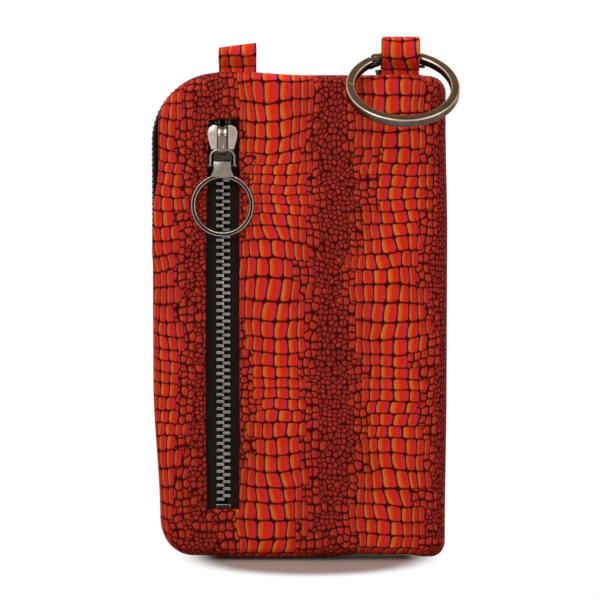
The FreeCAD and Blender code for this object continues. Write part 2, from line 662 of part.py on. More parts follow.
def ring_pull():
    """The pull: a flat cast ring with a stem that flares out of it and turns on the rivet."""
    body = new_body("ring_pull")
    disc = new_sketch(body, "XZ_Plane", "pull_disc", "-pull_ring_thick / 2")
    draw_circle(disc, "0", "-pull_ring_drop", "pull_ring_radius")
    draw_circle(disc, "0", "-pull_ring_drop", "pull_ring_radius - pull_ring_bar")
    feature = add_pad(body, disc, "pull_ring_thick")
    for side in (-1, 1):
        feature = add_fillet(body, feature, "Y", side * value("pull_ring_thick / 2"), "pull_edge",
                             "PartDesign::Chamfer", "Size")
    stem = new_sketch(body, "XZ_Plane", "pull_stem", "-stem_thick / 2")
    top = "(rivet_radius + pull_ring_bar / 2)"
    neck = "(pull_ring_radius - pull_ring_drop)"
    foot = f"{neck} - {STEM_SINK_SHARE} * pull_ring_bar"
    draw_polygon(stem, (("-stem_wide / 2", top), ("-stem_wide / 2", f"{neck} / 2"),
                        ("-stem_flare / 2", foot), ("stem_flare / 2", foot),
                        ("stem_wide / 2", f"{neck} / 2"), ("stem_wide / 2", top)))
    add_pad(body, stem, "stem_thick")
    eye = new_sketch(body, "YZ_Plane", "pull_eye")
    draw_circle(eye, "0", "0", "rivet_radius + pin_room")
    add_pocket(body, eye, "stem_wide + 2 * cut_overrun", symmetric=True)
    keep(body, "zip_x", "front_bar_y", "rivet_z")


def zip_path(offset):
    """Points of the main zip's path, an offset inside the pouch edge: right end, arc, lower end."""
    height = value("pouch_height")
    radius = value("top_left_radius")
    left = -value("half_width")
    right = value("half_width - main_zip_inset")
    reach = radius - offset
    middle = FreeCAD.Vector(left + radius, 0, height - radius)
    slant = reach / math.sqrt(2)
    return (
        FreeCAD.Vector(right, 0, height - offset),
        FreeCAD.Vector(middle.x, 0, height - offset),
        middle + FreeCAD.Vector(-slant, 0, slant),
        FreeCAD.Vector(left + offset, 0, middle.z),
        FreeCAD.Vector(left + offset, 0, value("main_zip_foot")),
    )


def main_zip_tape(label, side):
    """A tape that follows the top edge, the large corner and the left side, rim to chain."""
    outer = zip_path(value("main_tape_sink"))
    inner = zip_path(value("main_tape_sink + main_tape_thick"))
    edges = [
        Part.makeLine(outer[0], outer[1]), Part.Arc(outer[1], outer[2], outer[3]).toShape(),
        Part.makeLine(outer[3], outer[4]), Part.makeLine(outer[4], inner[4]),
        Part.makeLine(inner[4], inner[3]), Part.Arc(inner[3], inner[2], inner[1]).toShape(),
        Part.makeLine(inner[1], inner[0]), Part.makeLine(inner[0], outer[0]),
    ]
    band = Part.Face(Part.Wire(edges))
    wide = value("main_zip_gap / 2 - main_chain_width / 2")
    tape = document.addObject("Part::Feature", label)
    tape.Label = label
    tape.Shape = band.extrude(FreeCAD.Vector(0, side * wide, 0))
    keep(tape, y=f"{side} * main_chain_width / 2")


def spot_on_path(distance):
    """Place and outward turn of a point on the main zip, measured from the closed slider's wedge."""
    offset = value("main_tape_middle")
    start = value("main_slider_x")
    corner = value("top_left_radius - half_width")
    reach = value("top_left_radius") - offset
    height = value("pouch_height") - offset
    straight = start - corner
    if distance <= straight:
        return FreeCAD.Vector(start - distance, 0, height), 0.0
    bend = reach * math.pi / 2
    centre = FreeCAD.Vector(corner, 0, value("pouch_height - top_left_radius"))
    if distance <= straight + bend:
        turn = (distance - straight) / reach
        return centre + FreeCAD.Vector(-reach * math.sin(turn), 0, reach * math.cos(turn)), turn
    drop = distance - straight - bend
    return centre + FreeCAD.Vector(-reach, 0, -drop), math.pi / 2


def main_tooth_row(label, side):
    """One row of moulded teeth along the main zip, half a pitch from the other row."""
    pitch = value("main_tooth_pitch")
    reach = value("top_left_radius - main_tape_middle")
    straight = value("main_slider_x - top_left_radius + half_width")
    drop = value("pouch_height - top_left_radius - main_zip_foot - stop_tall")
    length = straight + reach * math.pi / 2 + drop
    first = pitch / 2 if side > 0 else pitch
    count = int((length - first) / pitch)
    tall = value("main_tooth_tall")
    thick = value("main_tooth_thick")
    back = value("main_chain_width / 2")
    lap = value("main_tooth_lap")
    shapes = []
    for index in range(count):
        place, turn = spot_on_path(first + index * pitch)
        low = -lap if side > 0 else -back
        tooth = Part.makeBox(tall, back + lap, thick, FreeCAD.Vector(-tall / 2, low, -thick / 2))
        rotation = FreeCAD.Rotation(FreeCAD.Vector(0, 1, 0), -math.degrees(turn))
        tooth.Placement = FreeCAD.Placement(place, rotation)
        shapes.append(tooth)
    row = document.addObject("Part::Feature", label)
    row.Label = label
    row.Shape = Part.makeCompound(shapes)
    keep(row)


def main_zip_stop():
    """A clip between the tapes at the foot of the main zip."""
    stop = document.addObject("Part::Box", "main_zip_stop")
    stop.Label = "main_zip_stop"
    bind(stop, Length="main_tooth_thick", Width="main_chain_width", Height="stop_tall - seat_gap")
    keep(stop, "main_tape_middle - half_width - main_tooth_thick / 2", "-main_chain_width / 2",
         "main_zip_foot")


def main_slider():
    """The main slider lies along the top edge, its front up and its closing end to the right."""
    body = slider("main_slider", "main", "main_chain_width", "main_tooth_thick", "main_tape_thick",
                  "tape_room")
    keep(body, "main_slider_x", "0", "main_slider_z", along_top())


def along_top():
    """Turn a slider's own frame so that its front faces up and it closes towards +X."""
    return FreeCAD.Rotation(FreeCAD.Vector(0, -1, 0), FreeCAD.Vector(0, 0, -1), FreeCAD.Vector(1, 0, 0), "XYZ")


def main_pull():
    """A small waisted plate, slotted over the bridge, on a round bar through the bridge's eye."""
    body = new_body("main_pull")
    plate = new_sketch(body, "XY_Plane", "main_pull_plate", "-main_pull_thick / 2")
    half = "main_pull_wide / 2"
    waist = f"{PULL_WAIST_SHARE} * main_pull_wide / 2"
    heel = "-main_bar_radius - main_pull_thick / 2"
    right = ((heel, f"-{half}"), ("main_pull_long / 2", f"-{half}"), ("main_pull_long * 2 / 3", f"-{waist}"),
             ("main_pull_long", f"-{half}"))
    left = tuple((x, y[1:]) for x, y in reversed(right))
    draw_polygon(plate, right + left)
    add_pad(body, plate, "main_pull_thick")
    slot = new_sketch(body, "XY_Plane", "main_pull_slot", "-main_pull_thick / 2 - cut_overrun")
    gap = "(main_bridge_wide / 2 + main_pull_slot)"
    end = "(main_slider_long / 2 + main_bar_drop)"
    draw_polygon(slot, ((f"{heel} - cut_overrun", f"-{gap}"), (end, f"-{gap}"), (end, gap),
                        (f"{heel} - cut_overrun", gap)))
    add_pocket(body, slot, "main_pull_thick + 2 * cut_overrun", reverse=True)
    bar = new_sketch(body, "XZ_Plane", "main_pull_bar")
    draw_circle(bar, "0", "0", "main_bar_radius")
    add_pad(body, bar, "main_pull_wide", symmetric=True)
    keep(body, "main_bar_x", "0", "main_bar_z")


def loop_bar(name, radius, length, start, y, z, slack):
    """A round bar along X, or one drawn out upwards by a slack height."""
    pieces = [cylinder_along_x(name + "_round", radius, length, start, y, z)]
    if slack is None:
        return pieces[0]
    pieces.append(cylinder_along_x(name + "_crown", radius, length, start, y, f"{z} + {slack}"))
    flank = document.addObject("Part::Box", name + "_flank")
    bind(flank, Length=length, Width=f"2 * ({radius})", Height=slack, Placement__Base__x=start,
         Placement__Base__y=f"{y} - ({radius})", Placement__Base__z=z)
    return fuse(name, pieces + [flank])


def strap_tab(label, name, eye_y, slack=None):
    """A folded cloth loop: a stem of two layers in the top seam and an eye above it."""
    tab_x = f"{name}_tab_x"
    eye_z = f"{name}_eye_z"
    radius = f"{name}_eye_radius"
    start = f"{tab_x} - tab_width / 2"
    outer = loop_bar(f"{label}_loop", f"{radius} + tab_cloth", "tab_width", start, eye_y, eye_z, slack)
    stem = document.addObject("Part::Box", f"{label}_stem")
    bind(stem, Length="tab_width", Width="tab_stem", Height=f"{eye_z} - pouch_height + tab_seam",
         Placement__Base__x=start, Placement__Base__y="tab_y - tab_cloth",
         Placement__Base__z="pouch_height - tab_seam")
    eye = loop_bar(f"{label}_eye", radius, "tab_width + 2 * cut_overrun", f"{start} - cut_overrun",
                   eye_y, eye_z, slack)
    tab = cut(label, fuse(f"{label}_blank", [outer, stem]), eye)
    tab.Label = label
    keep(tab)


def polar(radius, angle):
    turn = math.radians(angle)
    return FreeCAD.Vector(radius * math.cos(turn), radius * math.sin(turn), 0)


def ring_blank():
    """The whole ring in its own frame, axis along Z, with bevelled edges."""
    radius = value("ring_radius")
    inner = value("ring_radius - ring_bar")
    half = value("ring_depth / 2")
    edge = value("ring_edge")
    corners = ((inner + edge, -half), (radius - edge, -half), (radius, edge - half), (radius, half - edge),
               (radius - edge, half), (inner + edge, half), (inner, half - edge), (inner, edge - half))
    spots = [FreeCAD.Vector(x, 0, z) for x, z in corners]
    section = Part.Face(Part.makePolygon(spots + spots[:1]))
    return section.revolve(FreeCAD.Vector(0, 0, 0), FreeCAD.Vector(0, 0, 1), 360)


def slab(radius, low, high, centre):
    """A round slab about an axis beside the ring's own."""
    return Part.makeCylinder(radius, high - low, centre + FreeCAD.Vector(0, 0, low))


def gate_region(shift):
    """Prism over the gate's stretch of the ring, its two end planes moved in by shift."""
    middle = value("ring_middle")
    hinge = polar(middle, value("gate_start_angle"))
    tip = polar(middle, value("gate_end_angle"))
    along = polar(1, value("gate_start_angle") + 90)
    across = polar(1, value("gate_start_angle"))
    reach = tip - hinge
    outward = reach.normalize()
    sideways = FreeCAD.Vector(-outward.y, outward.x, 0)
    wide = value("ring_radius")
    start = hinge + along * (value("knuckle_radius + knuckle_room") + shift)
    end = tip - outward * shift
    corners = [start - across * value("2 * ring_bar"), start + across * wide,
               end - sideways * wide, end + sideways * value("2 * ring_bar")]
    height = value("ring_depth + 2 * cut_overrun")
    face = Part.Face(Part.makePolygon(corners + corners[:1]))
    prism = face.extrude(FreeCAD.Vector(0, 0, height))
    prism.translate(FreeCAD.Vector(0, 0, -height / 2))
    return prism


def knuckle_region():
    """Prism over the stretch of the ring between the hinge pin and the gate's first face."""
    middle = value("ring_middle")
    angle = value("gate_start_angle")
    hinge = polar(middle, angle)
    along = polar(1, angle + 90)
    across = polar(1, angle) * value("2 * ring_bar")
    far = hinge + along * value("knuckle_radius + knuckle_room")
    corners = [hinge - across, far - across, far + across, hinge + across]
    height = value("ring_depth + 2 * cut_overrun")
    face = Part.Face(Part.makePolygon(corners + corners[:1]))
    prism = face.extrude(FreeCAD.Vector(0, 0, height))
    prism.translate(FreeCAD.Vector(0, 0, -height / 2))
    return prism


def ring_feature(label, shape):
    """A piece of the gate ring, set in the ring's tilted frame."""
    piece = document.addObject("Part::Feature", label)
    piece.Label = label
    piece.Shape = shape
    turn = FreeCAD.Rotation(FreeCAD.Vector(1, 0, 0), value("ring_tilt"))
    keep(piece, "right_tab_x", "ring_y", "ring_z", turn)


def gate_ring():
    """Ring body with a forked knuckle, gate with a tongue, hinge pin and leaf spring."""
    blank = ring_blank()
    half = value("ring_depth / 2")
    tongue = value("gate_tongue / 2")
    fork = tongue + value("gate_tongue_room")
    hinge = polar(value("ring_middle"), value("gate_start_angle"))
    knuckle = value("knuckle_radius")
    clear = knuckle + value("knuckle_room")
    pin = value("hinge_pin_radius")
    running = pin + value("pin_room")
    body = blank.cut(gate_region(-value("gate_gap"))).cut(knuckle_region())
    body = body.fuse(slab(knuckle, -half, half, hinge))
    body = body.cut(slab(clear, -fork, fork, hinge))
    body = body.cut(slab(pin, -half - pin, half + pin, hinge))
    ring_feature("ring_body", body.removeSplitter())
    gate = blank.common(gate_region(0))
    neck = blank.common(knuckle_region()).common(slab(2 * clear, -tongue, tongue, hinge))
    gate = gate.fuse(neck).fuse(slab(knuckle, -tongue, tongue, hinge))
    gate = gate.cut(slab(running, -half, half, hinge))
    ring_feature("ring_gate", gate.removeSplitter())
    head = value("hinge_pin_head")
    ring_feature("ring_hinge_pin", slab(pin, -half - head, half + head, hinge))
    ring_feature("ring_gate_spring", spring_leaf())


def spring_leaf():
    """A leaf on the inside of the ring: its foot on the ring body, its free end behind the gate."""
    inner = value("ring_radius - ring_bar")
    outside = inner - value("spring_room")
    wide = value("spring_width")
    low = FreeCAD.Vector(0, 0, -wide / 2)
    first = value("gate_start_angle - spring_foot_back")
    sweep = value("spring_foot_back + spring_reach")
    foot_sweep = value("spring_foot_angle")
    leaf = Part.makeCylinder(outside, wide, low).cut(Part.makeCylinder(outside - value("spring_leaf"), wide, low))
    leaf = leaf.common(sector(first, sweep))
    foot = Part.makeCylinder(inner, wide, low).cut(Part.makeCylinder(outside - value("spring_leaf"), wide, low))
    foot = foot.common(sector(first, foot_sweep))
    return leaf.fuse(foot).removeSplitter()


def sector(first, sweep):
    """A wedge about the ring's axis, from an angle over a sweep, as deep as the ring."""
    depth = value("ring_depth")
    wedge = Part.makeCylinder(value("ring_radius"), depth, FreeCAD.Vector(0, 0, -depth / 2),
                              FreeCAD.Vector(0, 0, 1), sweep)
    wedge.rotate(FreeCAD.Vector(0, 0, 0), FreeCAD.Vector(0, 0, 1), first)
    return wedge


def build():
    fill_sheet()
    front_panel()
    back_panel()
    lining("front_lining", "pocket_back", "lining_inset")
    lining("back_lining", "cavity - lining_thick", "(edge_round + seat_gap)")
    pocket_bag()
    front_zip_tape("front_zip_tape_left", -1)
    front_zip_tape("front_zip_tape_right", 1)
    tooth_row("front_zip_teeth_left", -1)
    tooth_row("front_zip_teeth_right", 1)
    front_top_stops()
    front_bottom_stop()
    front_slider()
    pull_bail()
    pull_rivet()
    ring_pull()
    main_zip_tape("main_zip_tape_front", -1)
    main_zip_tape("main_zip_tape_back", 1)
    main_tooth_row("main_zip_teeth_front", -1)
    main_tooth_row("main_zip_teeth_back", 1)
    main_zip_stop()
    main_slider()
    main_pull()
    strap_tab("left_strap_tab", "left", "left_eye_y")
    strap_tab("right_strap_tab", "right", "right_eye_y", "right_eye_slack")
    gate_ring()


def write_parts():
    """Check every object and sub-part, then write one file for each sub-part."""
    document.recompute()
    for item in document.Objects:
        if "Invalid" in item.State or "Error" in item.State:
            raise RuntimeError(f"{item.Label} did not build: {item.State}")
    for piece in sub_parts:
        if piece.Shape.isNull() or not piece.Shape.isValid():
            raise RuntimeError(f"{piece.Label} has no valid shape")
    os.makedirs("parts", exist_ok=True)
    for piece in sub_parts:
        piece.Shape.exportStep(f"parts/{piece.Label}.step")
        print(piece.Label, len(piece.Shape.Solids), round(piece.Shape.Volume, 2))


build()
write_parts()
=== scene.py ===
"""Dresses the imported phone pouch: printed padded cloth, two zips, strap tabs and a gate ring.

Lengths inside the makers are millimetres in the pouch's own frame: X across, Y from front to back,
Z up from the bottom edge. The function at() turns such a point into a place in the frame's metres.
"""
import math

import bmesh
import bpy
from mathutils import Matrix, Vector, noise


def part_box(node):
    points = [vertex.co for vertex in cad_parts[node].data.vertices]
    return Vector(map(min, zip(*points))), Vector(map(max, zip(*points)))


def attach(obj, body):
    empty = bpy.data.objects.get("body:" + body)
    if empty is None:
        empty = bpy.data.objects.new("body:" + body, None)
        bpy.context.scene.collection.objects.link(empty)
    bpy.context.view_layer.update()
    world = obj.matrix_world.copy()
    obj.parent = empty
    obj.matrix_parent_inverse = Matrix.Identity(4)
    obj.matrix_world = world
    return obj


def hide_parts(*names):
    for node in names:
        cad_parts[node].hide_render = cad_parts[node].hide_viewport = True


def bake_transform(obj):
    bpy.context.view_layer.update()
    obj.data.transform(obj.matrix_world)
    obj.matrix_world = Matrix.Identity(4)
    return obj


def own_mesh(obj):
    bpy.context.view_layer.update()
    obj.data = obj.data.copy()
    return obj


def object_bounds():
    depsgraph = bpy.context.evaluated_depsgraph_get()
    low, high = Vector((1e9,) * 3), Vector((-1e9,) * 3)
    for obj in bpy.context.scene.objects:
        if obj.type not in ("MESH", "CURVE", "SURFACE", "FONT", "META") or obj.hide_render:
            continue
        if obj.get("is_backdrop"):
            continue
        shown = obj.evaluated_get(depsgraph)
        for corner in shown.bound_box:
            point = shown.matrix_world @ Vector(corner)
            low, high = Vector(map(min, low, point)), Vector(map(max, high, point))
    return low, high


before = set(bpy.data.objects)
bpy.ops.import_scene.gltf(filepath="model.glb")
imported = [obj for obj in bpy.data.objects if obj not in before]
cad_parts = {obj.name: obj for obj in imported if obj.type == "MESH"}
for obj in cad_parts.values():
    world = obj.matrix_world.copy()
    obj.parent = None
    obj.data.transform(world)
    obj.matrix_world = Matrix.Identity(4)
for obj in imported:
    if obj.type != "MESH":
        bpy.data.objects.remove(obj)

bl_info = {
    "name": "Phone pouch",
    "version": (1, 0, 0),
    "blender": (4, 5, 0),
    "location": "3D view > Sidebar > Pouch",
    "description": "Builds the cloth, zips and metal of a phone pouch over its packed solids",
    "category": "Object",
}

CAD_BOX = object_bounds()
MM = 0.001
QUARTER = math.pi / 2


def pouch_zero():
    """The middle of the pouch's bottom edge, on the plane between its front and its back."""
    low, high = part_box("front_panel")
    return Vector(((low[0] + high[0]) / 2, high[1], low[2]))


ZERO = pouch_zero()


def at(x, y, z):
    return ZERO + Vector((x, y, z)) * MM


def local_box(node):
    """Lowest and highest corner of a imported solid, in the pouch's own millimetres."""
    return tuple((Vector(corner) - ZERO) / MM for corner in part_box(node))


def ease(amount):
    """A smooth step from 0 to 1."""
    amount = min(max(amount, 0.0), 1.0)
    return amount * amount * (3 - 2 * amount)


def ramp(place, none, full):
    """A smooth step from 0 where place is at none to 1 where it is at full."""
    return ease((place - none) / (full - none))


# Settings


def length(name, about, default):
    return bpy.props.FloatProperty(name=name, description=about, default=default, min=0.0)


def colour(name, about, default):
    return bpy.props.FloatVectorProperty(
        name=name, description=about, default=default, subtype="COLOR", size=3, min=0.0, max=1.0)


class PouchSizes(bpy.types.PropertyGroup):
    """Sizes of the soft and small pieces, in millimetres."""
    edge_round: length("Edge round", "How far the padded edge rounds in from the outline", 5.3)
    face_depth: length("Face depth", "Panel face in front of the middle plane, at its edge", 10.15)
    face_crown: length("Face crown", "How much further the middle of a panel stands out", 0.8)
    cloth_thick: length("Cloth thickness", "Printed cloth on its foam", 1.8)
    seam_gap: length("Seam gap", "Half the gap between the panels at their seam", 0.12)
    zip_rim: length("Zip rim", "Panel rim beside the main zip, from the middle plane", 3.85)
    window_turn: length("Window turn", "Radius of the turned edge of the zip window", 0.7)
    tooth_pitch: length("Tooth pitch", "One front tooth to the next on its row", 2.6)
    main_pitch: length("Main tooth pitch", "One main tooth to the next on its row", 2.0)
    metal_bevel: length("Metal bevel", "Rounding of the edges of cast metal pieces", 0.22)


class PouchColours(bpy.types.PropertyGroup):
    """Colours of the cloth print, the tapes and the metal."""
    scale_orange: colour("Scale orange", "Left side of a large scale", (0.80, 0.215, 0.03))
    scale_red: colour("Scale red", "Middle of a large scale", (0.78, 0.028, 0.008))
    scale_violet: colour("Scale violet", "Right side of a large scale", (0.56, 0.03, 0.095))
    scale_small: colour("Small scale", "Small rounded scales", (0.44, 0.036, 0.028))
    groove: colour("Groove", "Dark lines between the scales", (0.055, 0.002, 0.0005))
    tape: colour("Tape", "Zip tapes", (0.0075, 0.004, 0.0035))
    lining: colour("Lining", "Lining cloth", (0.03, 0.027, 0.027))
    nickel: colour("Nickel", "Slider and pull", (0.56, 0.47, 0.39))
    tooth: colour("Tooth metal", "Front zip teeth", (0.27, 0.238, 0.218))
    gunmetal: colour("Gunmetal", "Gate ring", (0.034, 0.02, 0.012))
    # Bright edge metal: partly wear from rubbing, partly painted highlight on rounded edges and lit
    # faces.
    rubbed_and_highlit: colour("Rubbed edge", "Edges where the plating is rubbed bright", (0.52, 0.42, 0.33))
    dark_face: colour("Dark face", "Flat faces of the pull ring", (0.03, 0.024, 0.02))
    # Painted shadow: the floor's colour near the pouch, darker than the white floor further off.
    backdrop: colour("Backdrop", "Floor close to the pouch", (0.36, 0.28, 0.245))


# Materials


class Amount:
    """A number on a socket; Python's operators extend it with Math nodes."""

    def __init__(self, nodes, socket):
        self.nodes = nodes
        self.socket = socket

    def math(self, operation, first, second=0.0):
        node = self.nodes.node("Math", {"operation": operation}, {0: first, 1: second})
        return Amount(self.nodes, node.outputs[0])

    def __add__(self, other):
        return self.math("ADD", self, other)

    def __sub__(self, other):
        return self.math("SUBTRACT", self, other)

    def __rsub__(self, other):
        return self.math("SUBTRACT", other, self)

    def __mul__(self, other):
        return self.math("MULTIPLY", self, other)

    def __gt__(self, other):
        return self.math("GREATER_THAN", self, other)

    __radd__ = __add__
    __rmul__ = __mul__

    def sine(self):
        return self.math("SINE", self)

    def cosine(self):
        return self.math("COSINE", self)

    def whole(self):
        return self.math("FLOOR", self)

    def power(self, exponent):
        """A power of the amount without its sign."""
        return self.math("POWER", self.math("ABSOLUTE", self), exponent)

    def step(self, low, high):
        """A smooth step from 0 at low to 1 at high."""
        node = self.nodes.node("MapRange", {"interpolation_type": "SMOOTHSTEP"},
                               {"Value": self, "From Min": low, "From Max": high})
        return Amount(self.nodes, node.outputs["Result"])


class NodeMaker:
    """An empty node tree with one short way to add nodes to it."""

    def __init__(self, tree, family=""):
        self.tree = tree
        self.family = family
        tree.nodes.clear()

    def feed(self, socket, item):
        """Set a socket to a plain value, or link it."""
        source = item.socket if isinstance(item, Amount) else item
        if isinstance(source, bpy.types.NodeSocket):
            self.tree.links.new(source, socket)
        else:
            socket.default_value = source

    def node(self, kind, settings, sockets):
        node = self.tree.nodes.new(self.family + kind)
        for name, item in settings.items():
            if name == "stops":
                self.set_stops(node.color_ramp, item)
            else:
                setattr(node, name, item)
        for name, item in sockets.items():
            self.feed(node.inputs[name], item)
        return node

    def set_stops(self, ramp, stops):
        while len(ramp.elements) < len(stops):
            ramp.elements.new(1.0)
        for element, (place, shade) in zip(ramp.elements, stops):
            element.position = place
            element.color = rgba(shade)


class Finish(NodeMaker):
    """A material of one principled shader, with the patterns that the finishes share."""

    def __init__(self, name, **constants):
        self.material = bpy.data.materials.new(name + "_finish")
        self.material.use_nodes = True
        super().__init__(self.material.node_tree, "ShaderNode")
        self.shader = self.node("BsdfPrincipled", {}, constants)
        self.output = self.node("OutputMaterial", {}, {"Surface": self.shader.outputs[0]})

    def shade(self, **sockets):
        for name, item in sockets.items():
            self.feed(self.shader.inputs[name.replace("_", " ")], item)

    def vector(self, operation, first, second):
        node = self.node("VectorMath", {"operation": operation}, {0: first, 1: second})
        return node.outputs[0]

    def axis(self, vector, name):
        return Amount(self, self.node("SeparateXYZ", {}, {0: vector}).outputs[name])

    def mix(self, factor, first, second):
        """A colour between two colours."""
        node = self.node("Mix", {"data_type": "RGBA"}, {"Factor": factor, 6: first, 7: second})
        return node.outputs[2]

    def noise(self, vector, scale, detail=2.0):
        node = self.node("TexNoise", {}, {"Vector": vector, "Scale": scale, "Detail": detail})
        return Amount(self, node.outputs["Fac"])

    def waves(self, vector, scale, distortion, detail):
        """Bands that follow each other along X."""
        node = self.node(
            "TexWave", {"wave_type": "BANDS", "bands_direction": "X"},
            {"Vector": vector, "Scale": scale, "Distortion": distortion, "Detail": detail})
        return Amount(self, node.outputs["Fac"])

    def sway(self, place, scale, reach):
        """A place pushed about by slow noise, by up to half of reach on each axis."""
        drift = self.node("TexNoise", {}, {"Vector": place, "Scale": scale, "Detail": 1.0})
        centred = self.vector("SUBTRACT", drift.outputs["Color"], (0.5, 0.5, 0.5))
        return self.vector("ADD", place, self.vector("MULTIPLY", centred, reach))

    def chance(self, first, second, part):
        """A fixed random number from 0 to 1 for a pair of whole numbers."""
        pair = self.node("CombineXYZ", {}, {"X": first, "Y": second}).outputs[0]
        dice = self.node("TexWhiteNoise", {"noise_dimensions": "2D"}, {"Vector": pair})
        return self.axis(dice.outputs["Color"], part)

    def bump(self, height, strength, distance):
        """Bump of a height on the shader's normal; distance is in metres."""
        sockets = {"Height": height, "Strength": strength, "Distance": distance}
        self.shade(Normal=self.node("Bump", {}, sockets).outputs[0])

    def attribute(self, name, part):
        return self.node("Attribute", {"attribute_name": name}, {}).outputs[part]

    def object_place(self):
        return self.node("TexCoord", {}, {}).outputs["Object"]


def rgba(shade, times=1.0, plus=0.0):
    """A colour with its alpha, made lighter or darker where asked."""
    return (*(part * times + plus for part in shade), 1.0)


# The print, in millimetres: one band of large scales to the next and the bands' shift to the left;
# one knot of small scales to the next, the height of one and how far it draws the rows together;
# rows and columns of large scales before they are stretched; the rounded scales' width and height.
BAND_PITCH, BAND_SHIFT = 43.0, 9.0
KNOT_PITCH, KNOT_HEIGHT, KNOT_PULL = 84.0, 142.0, 2.4
ROW_TALL = 5.4
COLUMN_WIDE = 2.7
MIDDLE_SCALE = (2.6, 3.2)
SMALL_SCALE = (1.75, 1.95)
# How strong a band is where its large scales begin, and its middle scales, with chance added to it.
LARGE_FROM = 0.95
MIDDLE_FROM = 0.28
# Width of one wave of the wave texture at scale 1.
WAVE_WIDE = 0.314


def band_phase(across, up):
    """Turn of the print's bands at a place: 0 in the middle of a band of large scales."""
    wander = (up * 0.0748 + 0.4).sine() * 2.0 + (up * 0.13).sine() * 1.2
    outer_left = (1 - across.step(-45.0, -20.0)) * 4.0
    return (across + wander + outer_left + BAND_SHIFT) * (math.tau / BAND_PITCH)


def band_strength(across, up):
    """1 in the middle of a band of large scales, 0 half way between two bands."""
    return band_phase(across, up).cosine() * 0.5 + 0.5


def knot_phase(up):
    """Turn of the print's knots at a height: 0 where it shrinks to its smallest scales."""
    return (up - KNOT_HEIGHT) * (math.tau / KNOT_PITCH)


def large_scales(cloth, across, up):
    """Upright scales in rows: wide in the middle of a band, narrow at its sides, low near knots."""
    spread = across - band_phase(across, up).sine() * (0.5 * BAND_PITCH / math.tau)
    row = (up + knot_phase(up).sine() * KNOT_PULL) * (1 / ROW_TALL)
    row_number = row.whole()
    shift = cloth.chance(row_number, 7.0, "X") * 0.4
    column = spread * (1 / COLUMN_WIDE) + shift
    column_number = column.whole()
    inside = column - column_number
    above = row - row_number
    middle = (column_number + 0.5 - shift) * COLUMN_WIDE
    height = (row_number + 0.5) * ROW_TALL
    strength = band_strength(middle, height)
    own_luck = cloth.chance(column_number, row_number, "X") * 0.3
    luck = own_luck + cloth.chance(row_number, 3.0, "Y") * 0.22
    rim = (inside * 2.0 - 1.0).power(4.5) + (above * 2.0 - 1.0).power(5.0)
    return {
        "here": strength + luck - knot_phase(height).cosine() * 0.1 > LARGE_FROM,
        "ink": 1 - rim.step(0.3, 0.9),
        "across": inside,
        "up": above,
        "tone": cloth.chance(column_number, row_number, "Y"),
    }


def pebbles(cloth, place, scale, jitter, least):
    """Rounded scales that crowd together, where a band is stronger than least."""
    wide, tall = scale
    cell = cloth.vector("MULTIPLY", place, (1 / wide, 1 / tall, 0.0))
    sockets = {"Vector": cell, "Scale": 1.0, "Randomness": jitter}
    near, edge = (
        cloth.node("TexVoronoi", {"voronoi_dimensions": "2D", "feature": feature}, sockets).outputs
        for feature in ("F1", "DISTANCE_TO_EDGE"))
    away = cloth.vector("SUBTRACT", cell, near["Position"])
    middle = cloth.vector("MULTIPLY", near["Position"], (wide, tall, 0.0))
    across, up = cloth.axis(middle, "X"), cloth.axis(middle, "Y")
    luck = cloth.axis(near["Color"], "X") * 0.24
    round_edge = 1 - Amount(cloth, near["Distance"]).step(0.36, 0.72)
    return {
        "here": band_strength(across, up) + luck - knot_phase(up).cosine() * 0.08 > least,
        "ink": Amount(cloth, edge["Distance"]).step(0.0, 0.22) * round_edge,
        "across": cloth.axis(away, "X") + 0.5,
        "up": cloth.axis(away, "Y") + 0.5,
        "tone": cloth.axis(near["Color"], "Y"),
    }


def printed_cloth(name, colours):
    """Smooth padded cloth with a reptile print: bands of large and small scales in dark grooves."""
    cloth = Finish(name, **{"Roughness": 0.7, "Specular IOR Level": 0.03})
    flat = cloth.attribute("cloth", "Vector")
    place = cloth.sway(cloth.sway(flat, 0.02, (7.0, 15.0, 0.0)), 0.11, (2.0, 2.2, 0.0))
    place_x, place_y = cloth.axis(place, "X"), cloth.axis(place, "Y")
    large = large_scales(cloth, place_x, place_y)
    middle = pebbles(cloth, place, MIDDLE_SCALE, 0.55, MIDDLE_FROM)
    small = pebbles(cloth, place, SMALL_SCALE, 0.75, 0.0)

    def pick(key):
        inner = middle[key] * middle["here"] + small[key] * (1 - middle["here"])
        return large[key] * large["here"] + inner * (1 - large["here"])

    ink, across, up, tone = (pick(key) for key in ("ink", "across", "up", "tone"))
    stops = ((0.06, colours.scale_orange), (0.42, colours.scale_red), (0.64, colours.scale_red),
             (0.94, colours.scale_violet))
    glow = cloth.node("ValToRGB", {"stops": stops}, {0: across + (tone - 0.5) * 0.16})
    dull = cloth.mix(tone, rgba(colours.scale_small, 0.62), rgba(colours.scale_small))
    strength = band_strength(place_x, place_y)
    vivid = large["here"] * 0.3 + middle["here"] * 0.3 + strength * 0.34 + 0.05
    scales = cloth.mix(vivid, dull, glow.outputs["Color"])
    fibre = cloth.noise(flat, 5.0, 3.0)
    streaks = cloth.waves(flat, 0.5, 0.8, 2.0)
    aside = large["here"] * (1 - strength) * 0.22
    shadow = streaks * 0.14 + up.step(0.35, 1.0) * 0.1 + aside
    shaded = cloth.mix(shadow, scales, rgba(colours.groove))
    worn_ink = ink * (fibre * 0.5 + 0.6).step(0.3, 0.95)
    cloth.shade(Base_Color=cloth.mix(worn_ink, rgba(colours.groove), shaded),
                Roughness=0.62 + fibre * 0.16 + (1 - ink) * 0.08)
    cloth.bump(ink * 0.5 + streaks * 0.2 + fibre * 0.2, 0.35, 0.0002)
    return cloth.material


